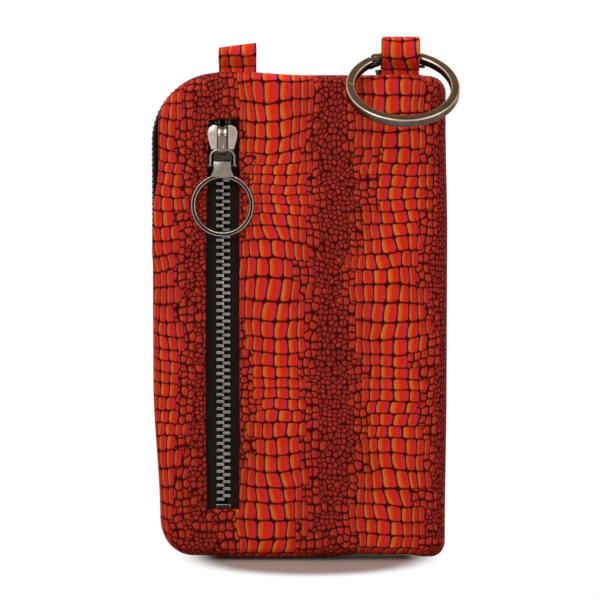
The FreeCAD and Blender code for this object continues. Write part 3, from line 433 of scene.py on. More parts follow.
def woven(name, shade, pitch, sheen):
    """Plain woven cloth: two crossing sets of threads a pitch apart, with a painted sheen that makes
    them lighter on their crowns.
    """
    cloth = Finish(name, **{"Specular IOR Level": 0.06, "Sheen Weight": sheen})
    place = cloth.object_place()
    threads = []
    for turn in (math.pi / 4, -math.pi / 4):
        turned = cloth.node("Mapping", {}, {"Vector": place, "Rotation": (0.0, turn, 0.0)})
        threads.append(cloth.waves(turned.outputs[0], WAVE_WIDE / pitch / MM, 0.6, 1.0))
    weave = threads[0] * 0.5 + threads[1] * 0.5
    worn = cloth.noise(place, 180.0, 3.0)
    # Painted sheen on the thread crowns, mixed with random wear.
    crown = cloth.mix(weave * 0.7 + worn * 0.3, rgba(shade), rgba(shade, 2.6, 0.004))
    cloth.shade(Base_Color=crown, Roughness=0.72 + weave * 0.15)
    cloth.bump(weave, 0.6, 0.0002)
    return cloth.material


def metal(name, shade, rubbed_and_highlit, polish, grain):
    """Plated metal: fine grain, handling marks, duller where worn, and bright edges that are partly
    wear from rubbing and partly painted highlight, with painted shade where a face's tone is low.
    """
    cast = Finish(name, **{"Metallic": 1.0, "Specular Tint": (0.8, 0.66, 0.54, 1.0)})
    place = cast.object_place()
    stretched = cast.vector("MULTIPLY", place, (1.0, 1.0, 0.12))
    brushed = cast.noise(stretched, 2600.0, 2.0)
    marks = cast.noise(place, 420.0, 4.0)
    cloud = cast.noise(place, 95.0, 2.0)
    worn = (cloud * 0.7 + marks * 0.5).step(0.35, 0.85)
    face = cast.mix(worn, rgba(shade, 0.62), rgba(shade))
    # The edge attribute is the share of bright metal: painted highlight, with wear from rubbing,
    # where high; painted shade where low.
    bright = cast.mix(worn, rgba(rubbed_and_highlit, 0.55), rgba(rubbed_and_highlit))
    edge = Amount(cast, cast.attribute("edge", "Fac"))
    cast.shade(Base_Color=cast.mix(edge, face, bright),
               Roughness=polish + brushed * grain + marks.step(0.55, 0.8) * 0.08)
    cast.bump(brushed * 0.6 + marks * 0.4, grain, 0.00003)
    return cast.material


def moulded(name, shade):
    """Black moulded plastic with a faint mould texture."""
    plastic = Finish(name, **{"Specular IOR Level": 0.45})
    grain = plastic.noise(plastic.object_place(), 900.0, 2.0)
    plastic.shade(Base_Color=plastic.mix(grain, rgba(shade), rgba(shade, 2.0, 0.01)),
                  Roughness=0.36 + grain * 0.22)
    plastic.bump(grain, 0.2, 0.00005)
    return plastic.material


def finishes(scene):
    """Every material of the pouch by name, made once."""
    colours = scene.pouch_colours
    recipes = {
        "printed_cloth": (printed_cloth, colours),
        "zip_tape": (woven, colours.tape, 0.42, 0.03),
        "lining_cloth": (woven, colours.lining, 0.5, 0.1),
        "bright_nickel": (metal, colours.nickel, colours.nickel, 0.15, 0.08),
        "pull_metal": (metal, colours.dark_face, colours.nickel, 0.2, 0.08),
        "dark_metal": (metal, colours.dark_face, colours.tooth, 0.3, 0.1),
        "tooth_metal": (metal, colours.tooth, colours.tooth, 0.22, 0.1),
        "gunmetal": (metal, colours.gunmetal, colours.rubbed_and_highlit, 0.26, 0.12),
        "black_nylon": (moulded, colours.tape),
    }
    return {name: bpy.data.materials.get(name + "_finish") or maker(name, *details)
            for name, (maker, *details) in recipes.items()}


# Mesh makers


def add_object(name, data):
    item = bpy.data.objects.new(name, data)
    bpy.context.scene.collection.objects.link(item)
    return item


def new_piece(name, places, faces, cloth=None):
    """A mesh object at the origin; printed cloth also has its own flat coordinates."""
    mesh = bpy.data.meshes.new(name)
    mesh.from_pydata(places, [], faces)
    if cloth is not None:
        layer = mesh.attributes.new("cloth", "FLOAT_VECTOR", "POINT")
        layer.data.foreach_set("vector", [part for spot in cloth for part in spot])
    return add_object(name, mesh)


def face_outwards(piece):
    shape = bmesh.new()
    shape.from_mesh(piece.data)
    bmesh.ops.recalc_face_normals(shape, faces=shape.faces)
    shape.to_mesh(piece.data)
    shape.free()


def settle(piece):
    """Turn a piece with its modifiers into a plain mesh."""
    bpy.context.view_layer.update()
    depsgraph = bpy.context.evaluated_depsgraph_get()
    piece.data = bpy.data.meshes.new_from_object(
        piece.evaluated_get(depsgraph), preserve_all_data_layers=True, depsgraph=depsgraph)
    piece.modifiers.clear()


def smooth(piece, angle=40):
    piece.data.shade_smooth()
    piece.data.set_sharp_from_angle(angle=math.radians(angle))


def thicken(piece, thick, offset, angle):
    """Give a skin its wall: offset -1 puts it behind the skin, 0 half on each side."""
    wall = piece.modifiers.new("cloth", "SOLIDIFY")
    wall.thickness = thick * MM
    wall.offset = offset
    settle(piece)
    smooth(piece, angle)


def dress(piece, name, body, *nodes, finish=None, bend=None):
    """Give a finished piece its material and slot, its body and the solids that it stands for.

    bend, for a piece that bends with a joint, is the second body and the points between which the
    piece would turn; only whether it is given is used: such a piece keeps its place and rides no
    body.
    """
    piece.data.materials.clear()
    piece.data.materials.append(finishes(bpy.context.scene)[finish or name])
    if bend:
        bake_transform(piece)
    else:
        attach(piece, body)
    if nodes:
        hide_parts(*nodes)
    return piece


def rounded_ring(sides, radii, shares):
    """Points round a rectangle, with outward normals; sides meet in the middle of a corner.

    sides are left, right, low and high; radii start at the lower left corner and go anticlockwise.
    shares gives, for each side, the points' places along it from 0 to 1.
    """
    left, right, low, high = sides
    middles = (
        Vector((left + radii[0], low + radii[0])), Vector((right - radii[1], low + radii[1])),
        Vector((right - radii[2], high - radii[2])), Vector((left + radii[3], high - radii[3])),
    )

    def round_corner(corner, turn):
        normal = Vector((math.cos(turn), math.sin(turn)))
        return middles[corner] + normal * radii[corner], normal

    ring = []
    for side, stops in enumerate(shares):
        following = (side + 1) % len(middles)
        facing = (side - 1) * QUARTER
        out = Vector((math.cos(facing), math.sin(facing)))
        first = radii[side] * QUARTER / 2
        last = radii[following] * QUARTER / 2
        start = middles[side] + out * radii[side]
        end = middles[following] + out * radii[following]
        straight = (end - start).length
        for share in stops:
            walk = (first + straight + last) * share
            if walk < first:
                ring.append(round_corner(side, facing - QUARTER / 2 + walk / radii[side]))
            elif walk < first + straight:
                ring.append((start.lerp(end, (walk - first) / straight), out))
            else:
                turn = facing + (walk - first - straight) / radii[following]
                ring.append(round_corner(following, turn))
    return ring


def even(*counts):
    """Even shares for the sides of a ring with so many points on each."""
    return [[step / count for step in range(count)] for count in counts]


def band_faces(rings, count):
    """Quads between neighbouring closed rings of points."""
    faces = []
    for row in range(rings - 1):
        for step in range(count):
            following = (step + 1) % count
            base, above = row * count, (row + 1) * count
            faces.append((base + step, base + following, above + following, above + step))
    return faces


def ups_beside(path, axis):
    """Directions at right angles to a path and to an axis, one for each point of the path."""
    befores, afters = [path[0], *path[:-1]], [*path[1:], path[-1]]
    return [axis.cross((after - before).normalized()) for before, after in zip(befores, afters)]


def sweep(name, path, ups, across, section, cloth_from=None):
    """A closed solid along a path: section gives (across, up) offsets, ups the way up at points."""
    places = []
    cloth = None if cloth_from is None else []
    walked = 0.0
    for index, (spot, up) in enumerate(zip(path, ups)):
        if index:
            walked += (spot - path[index - 1]).length
        for aside, above in section:
            places.append(at(*(spot + across * aside + up * above)))
            if cloth_from is not None:
                cloth.append((cloth_from[0] + aside, cloth_from[1] + walked, 0.0))
    count = len(section)
    faces = band_faces(len(path), count)
    faces.append(tuple(range(count)))
    faces.append(tuple(reversed(range(count * (len(path) - 1), count * len(path)))))
    piece = new_piece(name, places, faces, cloth)
    face_outwards(piece)
    smooth(piece)
    return piece


def rounded_section(wide, thick, steps=4):
    """A flat bar's section with round edges, as offsets across and up."""
    radius = thick / 2
    reach = wide / 2 - radius
    spots = []
    for side, start in ((1, -QUARTER), (-1, QUARTER)):
        for step in range(steps + 1):
            turn = start + 2 * QUARTER * step / steps
            spots.append((side * reach + radius * math.cos(turn), radius * math.sin(turn)))
        spots.extend((side * reach * share, side * radius) for share in (0.5, 0.0, -0.5))
    return spots


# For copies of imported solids: distances in millimetres within which points are merged and cuts meet
# a point, and the angles up to which faces count as flat and from which an edge is rounded over.
MERGE_NEAR, CUT_NEAR = 0.002, 0.001
FLAT_BELOW, SHARP_FROM = math.radians(0.8), math.radians(32)


def highlit_and_rubbed_edges(spot, normal, rounded):
    """The usual tone of metal: bright where an edge is rounded over, a painted highlight that partly
    stands for wear from rubbing.
    """
    return 1.0 if rounded else 0.0


def polished_copy(node, body, name, bevel=None, finish=None, tone=highlit_and_rubbed_edges, cuts=(), bend=None):
    """A copy of a packed metal solid with its edges rounded over.

    tone gives each face its share of the bright metal: painted highlight, with wear from rubbing,
    where high and painted shade where low. cuts are planes, each a point in the pouch's millimetres
    and a normal, along which faces are parted so that their tones can differ.
    """
    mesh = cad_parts[node].data.copy()
    piece = add_object(node + "_finish", mesh)
    shape = bmesh.new()
    shape.from_mesh(mesh)
    bmesh.ops.remove_doubles(shape, verts=shape.verts, dist=MERGE_NEAR * MM)
    bmesh.ops.dissolve_limit(shape, angle_limit=FLAT_BELOW, verts=shape.verts, edges=shape.edges)
    bmesh.ops.recalc_face_normals(shape, faces=shape.faces)
    # The face attribute edge carries painted light: shares of painted highlight and painted shade.
    layer = shape.faces.layers.float.new("edge")
    size = bpy.context.scene.pouch_sizes.metal_bevel if bevel is None else bevel
    if size:
        sharp = [edge for edge in shape.edges if edge.calc_face_angle(0.0) > SHARP_FROM]
        rounded = bmesh.ops.bevel(
            shape, geom=sharp, offset=size * MM, offset_type="OFFSET", segments=2, profile=0.5,
            affect="EDGES", clamp_overlap=True)
        for face in rounded["faces"]:
            face[layer] = 1.0
    for spot, normal in cuts:
        everything = list(shape.verts) + list(shape.edges) + list(shape.faces)
        bmesh.ops.bisect_plane(
            shape, geom=everything, dist=CUT_NEAR * MM, plane_co=at(*spot), plane_no=normal)
    for face in shape.faces:
        spot = (face.calc_center_median() - ZERO) / MM
        face[layer] = tone(spot, face.normal, face[layer] > 0.5)
    shape.to_mesh(mesh)
    shape.free()
    smooth(piece, 35)
    return dress(piece, name, body, node, finish=finish, bend=bend)


# Padded panels


def middle_x(node):
    return sum(corner.x for corner in local_box(node)) / 2


# Outline of a panel: half its width, its height, and its corners' radii from the lower left one on.
HALF_WIDE, _, TALL = local_box("front_panel")[1]
CORNERS = (15.0, 6.0, 7.5, 25.0)
# Columns left of, across and right of the zip window, and rows below, beside and above it.
COLUMNS = (14, 8, 50)
ROWS = (14, 94, 12)
WIDE_STEPS, TALL_STEPS = sum(COLUMNS), sum(ROWS)
EDGE_STEPS = 10
# Ends of the main zip, on the left side and on the top edge.
ZIP_FOOT = 115.0
ZIP_RIGHT = 39.0
# Middle of the front zip, its window in the panel, and the depth to which the cloth turns in there.
ZIP_X = middle_x("front_slider")
WINDOW_HALF, WINDOW_LOW, WINDOW_HIGH = 7.0, 18.6, 164.4
WINDOW_BACK = -8.72
# Half the width of a strap tab, and the distance of its front from the middle plane in the seam.
TAB_HALF = 7.0
TAB_FRONT = 6.2
# Soft dents in a panel's face, large and small: depth, width, height and what is added to the seed;
# the panels' seeds, and the shift of the print on the back.
DENTS = ((0.16, 31, 37, 0), (0.07, 12, 14, 5))
FRONT_SEED, BACK_SEED = 0.7, 4.2
BACK_PRINT = (60.0, 30.0)
# Where the sewn outline pulls in: the edge, whether on the front panel alone, how far, and one or
# two pairs of places along that edge, where the pull is nothing and where it is full.
PULLS = (
    ("left", False, 2.4, (66, 14)),
    ("left", False, 0.6, (112, 152)),
    ("left", True, 1.9, (128, 146), (172, 156)),
    ("right", False, 0.8, (120, 165)),
    ("right", False, 0.4, (62, 12)),
    ("high", False, 0.9, (-18, 2)),
    ("low", False, 0.9, (10, 22), (46, 40)),
    ("low", False, 0.5, (-24, -38)),
)


def drawn_in(spot, normal, front):
    """How far the sewn outline pulls in at a point of its edge."""
    facing = {"left": -normal.x, "right": normal.x, "low": -normal.y, "high": normal.y}
    pull = 0.0
    for edge, front_only, far, *ramps in PULLS:
        if front_only and not front:
            continue
        share = max(facing[edge], 0.0) ** 2
        for none, full in ramps:
            share *= ramp(spot.y if edge in ("left", "right") else spot.x, none, full)
        pull += far * share
    return pull


def near_tab(x, z):
    """1 where a strap tab comes out of the top seam, falling to 0 beside it."""
    if z < TALL - 8:
        return 0.0
    gaps = [abs(x - middle_x(tab)) - TAB_HALF for tab in ("left_strap_tab", "right_strap_tab")]
    return ramp(min(gaps), 2.2, 0.4)


def rim_depth(x, z, front, sizes):
    """Distance of a panel's rim from the middle plane: wide beside the main zip, else closed."""
    along_top = ramp(x, ZIP_RIGHT + 5, ZIP_RIGHT) if z > TALL - 30 else 0.0
    down_side = ramp(z, ZIP_FOOT - 5, ZIP_FOOT) if x < 0 else 0.0
    beside_zip = along_top if x > -20 else down_side
    rim = sizes.seam_gap + (sizes.zip_rim - sizes.seam_gap) * beside_zip
    if front:
        rim = max(rim, (TAB_FRONT + 0.15) * near_tab(x, z))
    return rim


def side_shares(spans, near, far, whole, first, last):
    """Shares along a side so that two of its points stand at the window's edges.

    near, far and whole are the window's edges and the side's length between the outline's square
    corners; first and last are the radii of the rounded ones.
    """
    lead, trail = first * (QUARTER / 2 - 1), last * (QUARTER / 2 - 1)
    around = whole + lead + trail
    marks = (0.0, (near + lead) / around, (far + lead) / around, 1.0)
    shares = []
    for count, start, end in zip(spans, marks, marks[1:]):
        shares.extend(start + (end - start) * step / count for step in range(count))
    return shares


def panel_shares():
    """Shares for the four sides of a panel: the same columns and rows on opposite sides."""
    foot_left, foot_right, head_right, head_left = CORNERS
    left, right = HALF_WIDE + ZIP_X - WINDOW_HALF, HALF_WIDE + ZIP_X + WINDOW_HALF

    def across(first, last):
        return side_shares(COLUMNS, left, right, 2 * HALF_WIDE, first, last)

    def upward(first, last):
        return side_shares(ROWS, WINDOW_LOW, WINDOW_HIGH, TALL, first, last)

    def turned(shares):
        return [1 - share for share in reversed(shares[1:] + [1.0])]

    return [across(foot_left, foot_right), upward(foot_right, head_right),
            turned(across(head_left, head_right)), turned(upward(foot_left, head_left))]


def face_depth(x, z, sizes, seed):
    """Depth of a panel's face in front of the middle plane, with its crown and soft dents."""
    u = x / HALF_WIDE
    v = 2 * z / TALL - 1
    crown = (1 - u ** 4) * (1 - v ** 4)
    dents = sum(deep * noise.noise((x / wide, z / tall, seed + more))
                for deep, wide, tall, more in DENTS)
    return sizes.face_depth + sizes.face_crown * crown + dents * crown


def edge_rings(front, sizes, seed):
    """Rings of the rounded edge from rim to face: places, cloth coordinates and the inner ring."""
    ring = rounded_ring((-HALF_WIDE, HALF_WIDE, 0.0, TALL), CORNERS, panel_shares())
    side = -1 if front else 1
    places = []
    cloth = []
    inner = [spot - normal * (sizes.edge_round + drawn_in(spot, normal, front))
             for spot, normal in ring]
    for step in range(EDGE_STEPS + 1):
        turn = QUARTER * step / EDGE_STEPS
        for (spot, normal), home in zip(ring, inner):
            rim = rim_depth(spot.x, spot.y, front, sizes)
            face = face_depth(home.x, home.y, sizes, seed)
            point = home + normal * sizes.edge_round * math.cos(turn)
            places.append((point.x, side * (rim + (face - rim) * math.sin(turn)), point.y))
            spread = (sizes.edge_round + face - rim) / 2 * (QUARTER - turn)
            flat = home + normal * spread
            cloth.append((flat.x, flat.y, 0.0))
    return places, cloth, inner


def between(step, marks, levels):
    """A value at a step, straight between the levels at the marks."""
    for low, high, first, last in zip(marks, marks[1:], levels, levels[1:]):
        if step <= high:
            return first + (last - first) * (step - low) / (high - low)
    return levels[-1]


def face_grid(inner, start, lay):
    """Rows and columns inside the inner ring; lay adds a point and returns its number."""
    count = len(inner)
    wide, tall = WIDE_STEPS, TALL_STEPS
    foot = [inner[step] for step in range(wide + 1)]
    right = [inner[wide + step] for step in range(tall + 1)]
    head = [inner[2 * wide + tall - step] for step in range(wide + 1)]
    left = [inner[(count - step) % count] for step in range(tall + 1)]
    index = {}
    for step in range(wide + 1):
        index[step, 0] = start + step
        index[step, tall] = start + 2 * wide + tall - step
    for step in range(tall + 1):
        index[wide, step] = start + wide + step
        index[0, step] = start + (count - step) % count
    columns = (0, COLUMNS[0], COLUMNS[0] + COLUMNS[1], wide)
    rows = (0, ROWS[0], ROWS[0] + ROWS[1], tall)

    def across(step, row):
        sides = (left[row].x, ZIP_X - WINDOW_HALF, ZIP_X + WINDOW_HALF, right[row].x)
        return between(step, columns, sides)

    def upward(step, row):
        return between(row, rows, (foot[step].y, WINDOW_LOW, WINDOW_HIGH, head[step].y))

    for row in range(1, tall):
        v = row / tall
        for step in range(1, wide):
            u = step / wide
            x = across(step, row) + (foot[step].x - across(step, 0)) * (1 - v) ** 3
            x += (head[step].x - across(step, tall)) * v ** 3
            z = upward(step, row) + (left[row].y - upward(0, row)) * (1 - u) ** 3
            z += (right[row].y - upward(wide, row)) * u ** 3
            index[step, row] = lay(step, row, Vector((x, z)))
    return index


def grid_faces(index, keep):
    """Quads of a face grid, without those that keep turns down."""
    return [(index[step, row], index[step + 1, row], index[step + 1, row + 1], index[step, row + 1])
            for row in range(TALL_STEPS) for step in range(WIDE_STEPS) if keep(step, row)]


def window_shift(point):
    """The window's own unevenness: a little narrower and further right at its head."""
    head = ramp(point.y, 112, 162)
    foot = ramp(point.y, 60, 15)
    aside = point.x - ZIP_X
    shift = -0.25 + 0.45 * head + 0.1 * foot - aside * (0.05 * head + 0.03 * foot)
    return shift + 0.16 * noise.noise((math.copysign(1.7, aside), point.y / 17, 3.0))


def turn_window(border, places, cloth, faces, radius):
    """Turn the cloth in at the window's border, first round an edge and then straight back."""
    rounds = 4
    for row in range(1, rounds + 2):
        turn = QUARTER * min(row / rounds, 1.0)
        tread = len(places)
        for number in border:
            x, y, z = places[number]
            side = 1 if x > ZIP_X else -1
            inward_x = -side if abs(x - ZIP_X) > WINDOW_HALF * 0.8 else 0
            inward_z = 1 if z < WINDOW_LOW + 0.5 else -1 if z > WINDOW_HIGH - 0.5 else 0
            reach = radius * math.sin(turn) * (0.75 if inward_x and inward_z else 1.0)
            depth = WINDOW_BACK if row > rounds else y + radius * (1 - math.cos(turn))
            places.append((x + inward_x * reach, depth, z + inward_z * reach))
            cloth.append((x + inward_x * reach, z + inward_z * reach, 0.0))
        earlier = border if row == 1 else range(tread - len(border), tread)
        for step in range(len(border)):
            following = (step + 1) % len(border)
            faces.append((earlier[step], earlier[following], tread + following, tread + step))


def front_shell(sizes):
    places, cloth, inner = edge_rings(True, sizes, FRONT_SEED)
    first, last = COLUMNS[0], COLUMNS[0] + COLUMNS[1]
    bottom, top = ROWS[0], ROWS[0] + ROWS[1]

    def lay(step, row, point):
        near = min(step / first, (WIDE_STEPS - step) / (WIDE_STEPS - last), 1.0)
        beside = min(row / bottom, (TALL_STEPS - row) / (TALL_STEPS - top), 1.0)
        point.x += window_shift(point) * near * beside
        roll = 0.2 * ramp(near, 0.8, 1.0) * ramp(beside, 0.8, 1.0)
        depth = face_depth(point.x, point.y, sizes, FRONT_SEED) + roll
        places.append((point.x, -depth, point.y))
        cloth.append((point.x, point.y, 0.0))
        return len(places) - 1

    faces = band_faces(EDGE_STEPS + 1, len(inner))
    index = face_grid(inner, EDGE_STEPS * len(inner), lay)
    faces += grid_faces(
        index, lambda step, row: not (first <= step < last and bottom <= row < top))
    border = [index[step, bottom] for step in range(first, last)]
    border += [index[last, row] for row in range(bottom, top)]
    border += [index[step, top] for step in range(last, first, -1)]
    border += [index[first, row] for row in range(top, bottom, -1)]
    turn_window(border, places, cloth, faces, sizes.window_turn)
    return panel_piece("front_shell", places, cloth, faces, sizes)


def back_shell(sizes):
    places, cloth, inner = edge_rings(False, sizes, BACK_SEED)

    def lay(step, row, point):
        places.append((point.x, face_depth(point.x, point.y, sizes, BACK_SEED), point.y))
        cloth.append((point.x, point.y, 0.0))
        return len(places) - 1

    faces = band_faces(EDGE_STEPS + 1, len(inner))
    index = face_grid(inner, EDGE_STEPS * len(inner), lay)
    faces += grid_faces(index, lambda step, row: True)
    cloth = [(BACK_PRINT[0] - x, z + BACK_PRINT[1], 0.0) for x, z, _ in cloth]
    return panel_piece("back_shell", places, cloth, faces, sizes)


def panel_piece(name, places, cloth, faces, sizes):
    """A panel's outer skin made into cloth with a thickness."""
    piece = new_piece(name, [at(*spot) for spot in places], faces, cloth)
    face_outwards(piece)
    facing = sum(polygon.normal.y * polygon.area for polygon in piece.data.polygons)
    outside = -1 if name.startswith("front") else 1
    if facing * outside < 0:
        piece.data.flip_normals()
    thicken(piece, sizes.cloth_thick, -1.0, 60)
    return piece


class POUCH_OT_panels(bpy.types.Operator):
    """Make the printed, padded front and back of the pouch"""
    bl_idname = "pouch.panels"
    bl_label = "Padded panels"

    def execute(self, context):
        sizes = context.scene.pouch_sizes
        front = dress(front_shell(sizes), "printed_cloth", "pouch", "front_panel")
        back = dress(back_shell(sizes), "printed_cloth", "pouch", "back_panel")
        return {"FINISHED"}


# Linings and pocket

# Thickness of lining cloth, the least radius of a lining's corners and its slack; the pocket's
# corners, the rounding of its walls and the spare cloth for them.
SHEET_THICK = 0.25
LINING_CORNER, LINING_SLACK = 5.8, 0.12
POCKET_CORNER, POCKET_ROUND, POCKET_SPARE = 7.7, 4.5, 10


def sheet_ring(low, high, gap, radii, shares):
    """A sheet's outline, a gap inside the box of its solid."""
    sides = (low.x + gap, high.x - gap, low.z + gap, high.z - gap)
    return rounded_ring(sides, radii, shares)


def spine_point(spot, low, high):
    """The point nearest to a spot on the upright line in the middle of a sheet."""
    middle = (low + high) / 2
    spine = high.z - low.z - (high.x - low.x)
    return Vector((middle.x, min(max(spot.y, middle.z - spine / 2), middle.z + spine / 2)))


def thin_sheet(name, node, rings, spare=0.0):
    """A sheet through closed rings of points, the last one filled; its flat size and its area."""
    count = len(rings[0])
    faces = band_faces(len(rings), count)
    faces.append(tuple(range((len(rings) - 1) * count, len(rings) * count)))
    piece = new_piece(name, [at(*spot) for ring in rings for spot in ring], faces)
    face_outwards(piece)
    thicken(piece, SHEET_THICK, 0.0, 50)
    low, high = local_box(node)
    area = sum(polygon.area for polygon in piece.data.polygons) / 2
    return piece, ((high.x - low.x + spare) * MM, (high.z - low.z + spare) * MM), area


def lining_sheet(node, seed):
    """A slightly slack lining sheet in the space of its solid."""
    low, high = local_box(node)
    inset = -HALF_WIDE - low.x
    radii = [max(radius + inset, LINING_CORNER) for radius in CORNERS]
    outline = sheet_ring(low, high, 0.2, radii, even(24, 40, 24, 40))
    middle = (low + high) / 2
    rows = 14
    rings = []
    for row in range(rows):
        share = row / rows
        ring = []
        for spot, _ in outline:
            point = spot.lerp(spine_point(spot, low, high), share)
            wave = noise.noise((point.x / 16, point.y / 18, seed))
            ring.append((point.x, middle.y + LINING_SLACK * wave * ease(share * 2), point.y))
        rings.append(ring)
    return thin_sheet(node + "_sheet", node, rings)


def pocket_sheet():
    """The pocket's bag: a shallow tray of lining cloth with rounded walls, open to the window."""
    low, high = local_box("pocket_bag")
    outline = sheet_ring(low, high, 0.3, (POCKET_CORNER,) * 4, even(30, 56, 30, 56))
    mouth = low.y + 0.15
    depth = high.y - low.y - 0.6
    wall_rows, floor_rows = 6, 12
    rings = []
    for step in range(wall_rows + 1):
        turn = QUARTER * step / wall_rows
        inward = POCKET_ROUND * (1 - math.cos(turn))
        points = [spot - normal * inward for spot, normal in outline]
        rings.append([(point.x, mouth + depth * math.sin(turn), point.y) for point in points])
    for row in range(1, floor_rows):
        share = row / floor_rows
        points = [(spot - normal * POCKET_ROUND).lerp(spine_point(spot, low, high), share)
                  for spot, normal in outline]
        rings.append([(point.x, mouth + depth, point.y) for point in points])
    return thin_sheet("pocket_sheet", "pocket_bag", rings, POCKET_SPARE)


class POUCH_OT_linings(bpy.types.Operator):
    """Make the lining sheets and the bag of the zip pocket"""
    bl_idname = "pouch.linings"
    bl_label = "Linings and pocket"

    def execute(self, context):
        sheets = (
            ("front_lining", "front_shell", lining_sheet("front_lining", 2.0)),
            ("back_lining", "back_shell", lining_sheet("back_lining", 6.0)),
            ("pocket_bag", "front_shell", pocket_sheet()),
        )
        for node, shell, (piece, flat, area) in sheets:
            dress(piece, "lining_cloth", "pouch", node)
        return {"FINISHED"}


# Front zip

# A tape's half thickness; height, place and width of the cord that the teeth grip; height and pitch
# of its ribs.
TAPE_HALF_THICK = 0.25
CORD_HIGH, CORD_AT, CORD_WIDE = 0.28, 0.55, 0.42
RIB_HIGH, RIB_PITCH = 0.05, 0.78
# A tooth's reach from its nose to its root, its height as modelled and that of its solid.
TOOTH_REACH = 2.75
TOOTH_TALL, TOOTH_SOLID_TALL = 1.2, 1.15


def front_tape(name, side):
    """Half of the woven tape, ribbed along its length, with the cord that the teeth grip."""
    low, high = local_box(name)
    wide = high.x - low.x
    upper = []
    steps = 28
    for step in range(steps + 1):
        aside = step / steps * wide
        cord = CORD_HIGH * math.exp(-((aside - CORD_AT) / CORD_WIDE) ** 2)
        rib = RIB_HIGH * math.cos(aside * math.tau / RIB_PITCH)
        upper.append((side * aside, TAPE_HALF_THICK + cord + rib))
    section = upper + [(aside, -TAPE_HALF_THICK) for aside, _ in reversed(upper)]
    start = low.x if side > 0 else high.x
    rows = 60
    heights = [low.z + (high.z - low.z) * row / rows for row in range(rows + 1)]
    path = [Vector((start, (low.y + high.y) / 2, height)) for height in heights]
    ups = [Vector((0, -1, 0))] * len(path)
    piece = sweep(name + "_weave", path, ups, Vector((1, 0, 0)), section)
    return dress(piece, "zip_tape", "pouch", name)


def tooth_mesh(name, profile, tall, bevel):
    """One tooth: its profile across the zip, as thick as tall along it, with rounded edges."""
    count = len(profile)
    places = [Vector((x, y, z)) * MM for z in (-tall / 2, tall / 2) for x, y in profile]
    faces = band_faces(2, count)
    faces += [tuple(reversed(range(count))), tuple(range(count, 2 * count))]
    piece = new_piece(name, places, faces)
    face_outwards(piece)
    rounding = piece.modifiers.new("edges", "BEVEL")
    rounding.width = bevel * MM
    rounding.segments = 1
    rounding.limit_method = "ANGLE"
    rounding.angle_limit = math.radians(30)
    settle(piece)
    smooth(piece, 30)
    return piece


def repeat_tree(name, inputs, lay):
    """A tree that repeats the object's own mesh, in one material, at the points that lay makes."""
    tree = bpy.data.node_groups.get(name)
    if tree:
        return tree
    tree = bpy.data.node_groups.new(name, "GeometryNodeTree")
    sockets = [("Geometry", "OUTPUT", "Geometry"), ("Geometry", "INPUT", "Geometry")]
    sockets += [(word, "INPUT", kind) for word, kind in inputs.items()]
    sockets += [("Material", "INPUT", "Material")]
    for word, way, kind in sockets:
        tree.interface.new_socket(name=word, in_out=way, socket_type="NodeSocket" + kind)
    nodes = NodeMaker(tree)
    entry = nodes.node("NodeGroupInput", {}, {}).outputs
    spread = nodes.node("GeometryNodeInstanceOnPoints", {},
                        {"Instance": entry["Geometry"], **lay(nodes, entry)})
    real = nodes.node("GeometryNodeRealizeInstances", {}, {0: spread.outputs[0]})
    paint = nodes.node("GeometryNodeSetMaterial", {},
                       {"Geometry": real.outputs[0], "Material": entry["Material"]})
    nodes.node("NodeGroupOutput", {}, {0: paint.outputs[0]})
    return tree


def row_points(nodes, entry):
    """Points along a straight row."""
    sockets = {"Count": "Count", "Start Location": "Start", "Offset": "Pitch"}
    line = nodes.node("GeometryNodeMeshLine", {},
                      {socket: entry[word] for socket, word in sockets.items()})
    return {"Points": line.outputs["Mesh"]}


def path_points(nodes, entry):
    """Points along a curve, turned with it."""
    curve = nodes.node("GeometryNodeObjectInfo", {}, {"Object": entry["Path"]})
    points = nodes.node("GeometryNodePoints", {}, {"Count": entry["Count"]})
    index = nodes.node("GeometryNodeInputIndex", {}, {})
    walk = nodes.node("ShaderNodeMath", {"operation": "MULTIPLY_ADD"},
                      {0: index.outputs[0], 1: entry["Pitch"], 2: entry["First"]})
    sample = nodes.node("GeometryNodeSampleCurve", {"mode": "LENGTH"},
                        {"Curves": curve.outputs["Geometry"], "Length": walk.outputs[0]}).outputs
    place = nodes.node("GeometryNodeSetPosition", {},
                       {"Geometry": points.outputs[0], "Position": sample["Position"]})
    turn = nodes.node("FunctionNodeAlignRotationToVector", {"axis": "X", "pivot_axis": "Y"},
                      {"Vector": sample["Tangent"]})
    return {"Points": place.outputs[0], "Rotation": turn.outputs[0]}


def repeat(piece, tree, **inputs):
    """Run a tree on a piece with named inputs, and keep the result as its mesh."""
    modifier = piece.modifiers.new(tree.name, "NODES")
    modifier.node_group = tree
    sockets = {item.name: item.identifier
               for item in tree.interface.items_tree if item.in_out == "INPUT"}
    for name, item in inputs.items():
        modifier[sockets[name]] = item
    settle(piece)
    return piece


def front_teeth(name, side):
    """A closed row of metal teeth, each a bar with a rounded nose past the centre line.
    """
    low, high = local_box(name)
    pitch = bpy.context.scene.pouch_sizes.tooth_pitch
    reach = TOOTH_REACH
    profile = [(-0.5, -0.5), (-0.3, -0.85), (0.5, -1.12), (reach - 0.3, -1.12), (reach, -0.8),
               (reach, 0.9), (0.5, 1.1), (-0.4, 0.6)]
    mirrored = [(side * x, y) for x, y in profile]
    piece = tooth_mesh(name + "_metal", mirrored, TOOTH_TALL, 0.16)
    count = round((high.z - low.z - TOOTH_SOLID_TALL) / pitch) + 1
    middle = (low.y + high.y) / 2
    inputs = {"Count": "Int", "Start": "Vector", "Pitch": "Vector"}
    repeat(piece, repeat_tree("tooth_row", inputs, row_points), Count=count,
           Start=at(ZIP_X, middle, low.z + TOOTH_SOLID_TALL / 2), Pitch=(0.0, 0.0, pitch * MM),
           Material=finishes(bpy.context.scene)["tooth_metal"])
    dress(piece, "tooth_metal", "pouch", name)
    root = at(ZIP_X + side * reach, middle, low.z)
    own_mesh(piece)
    return piece


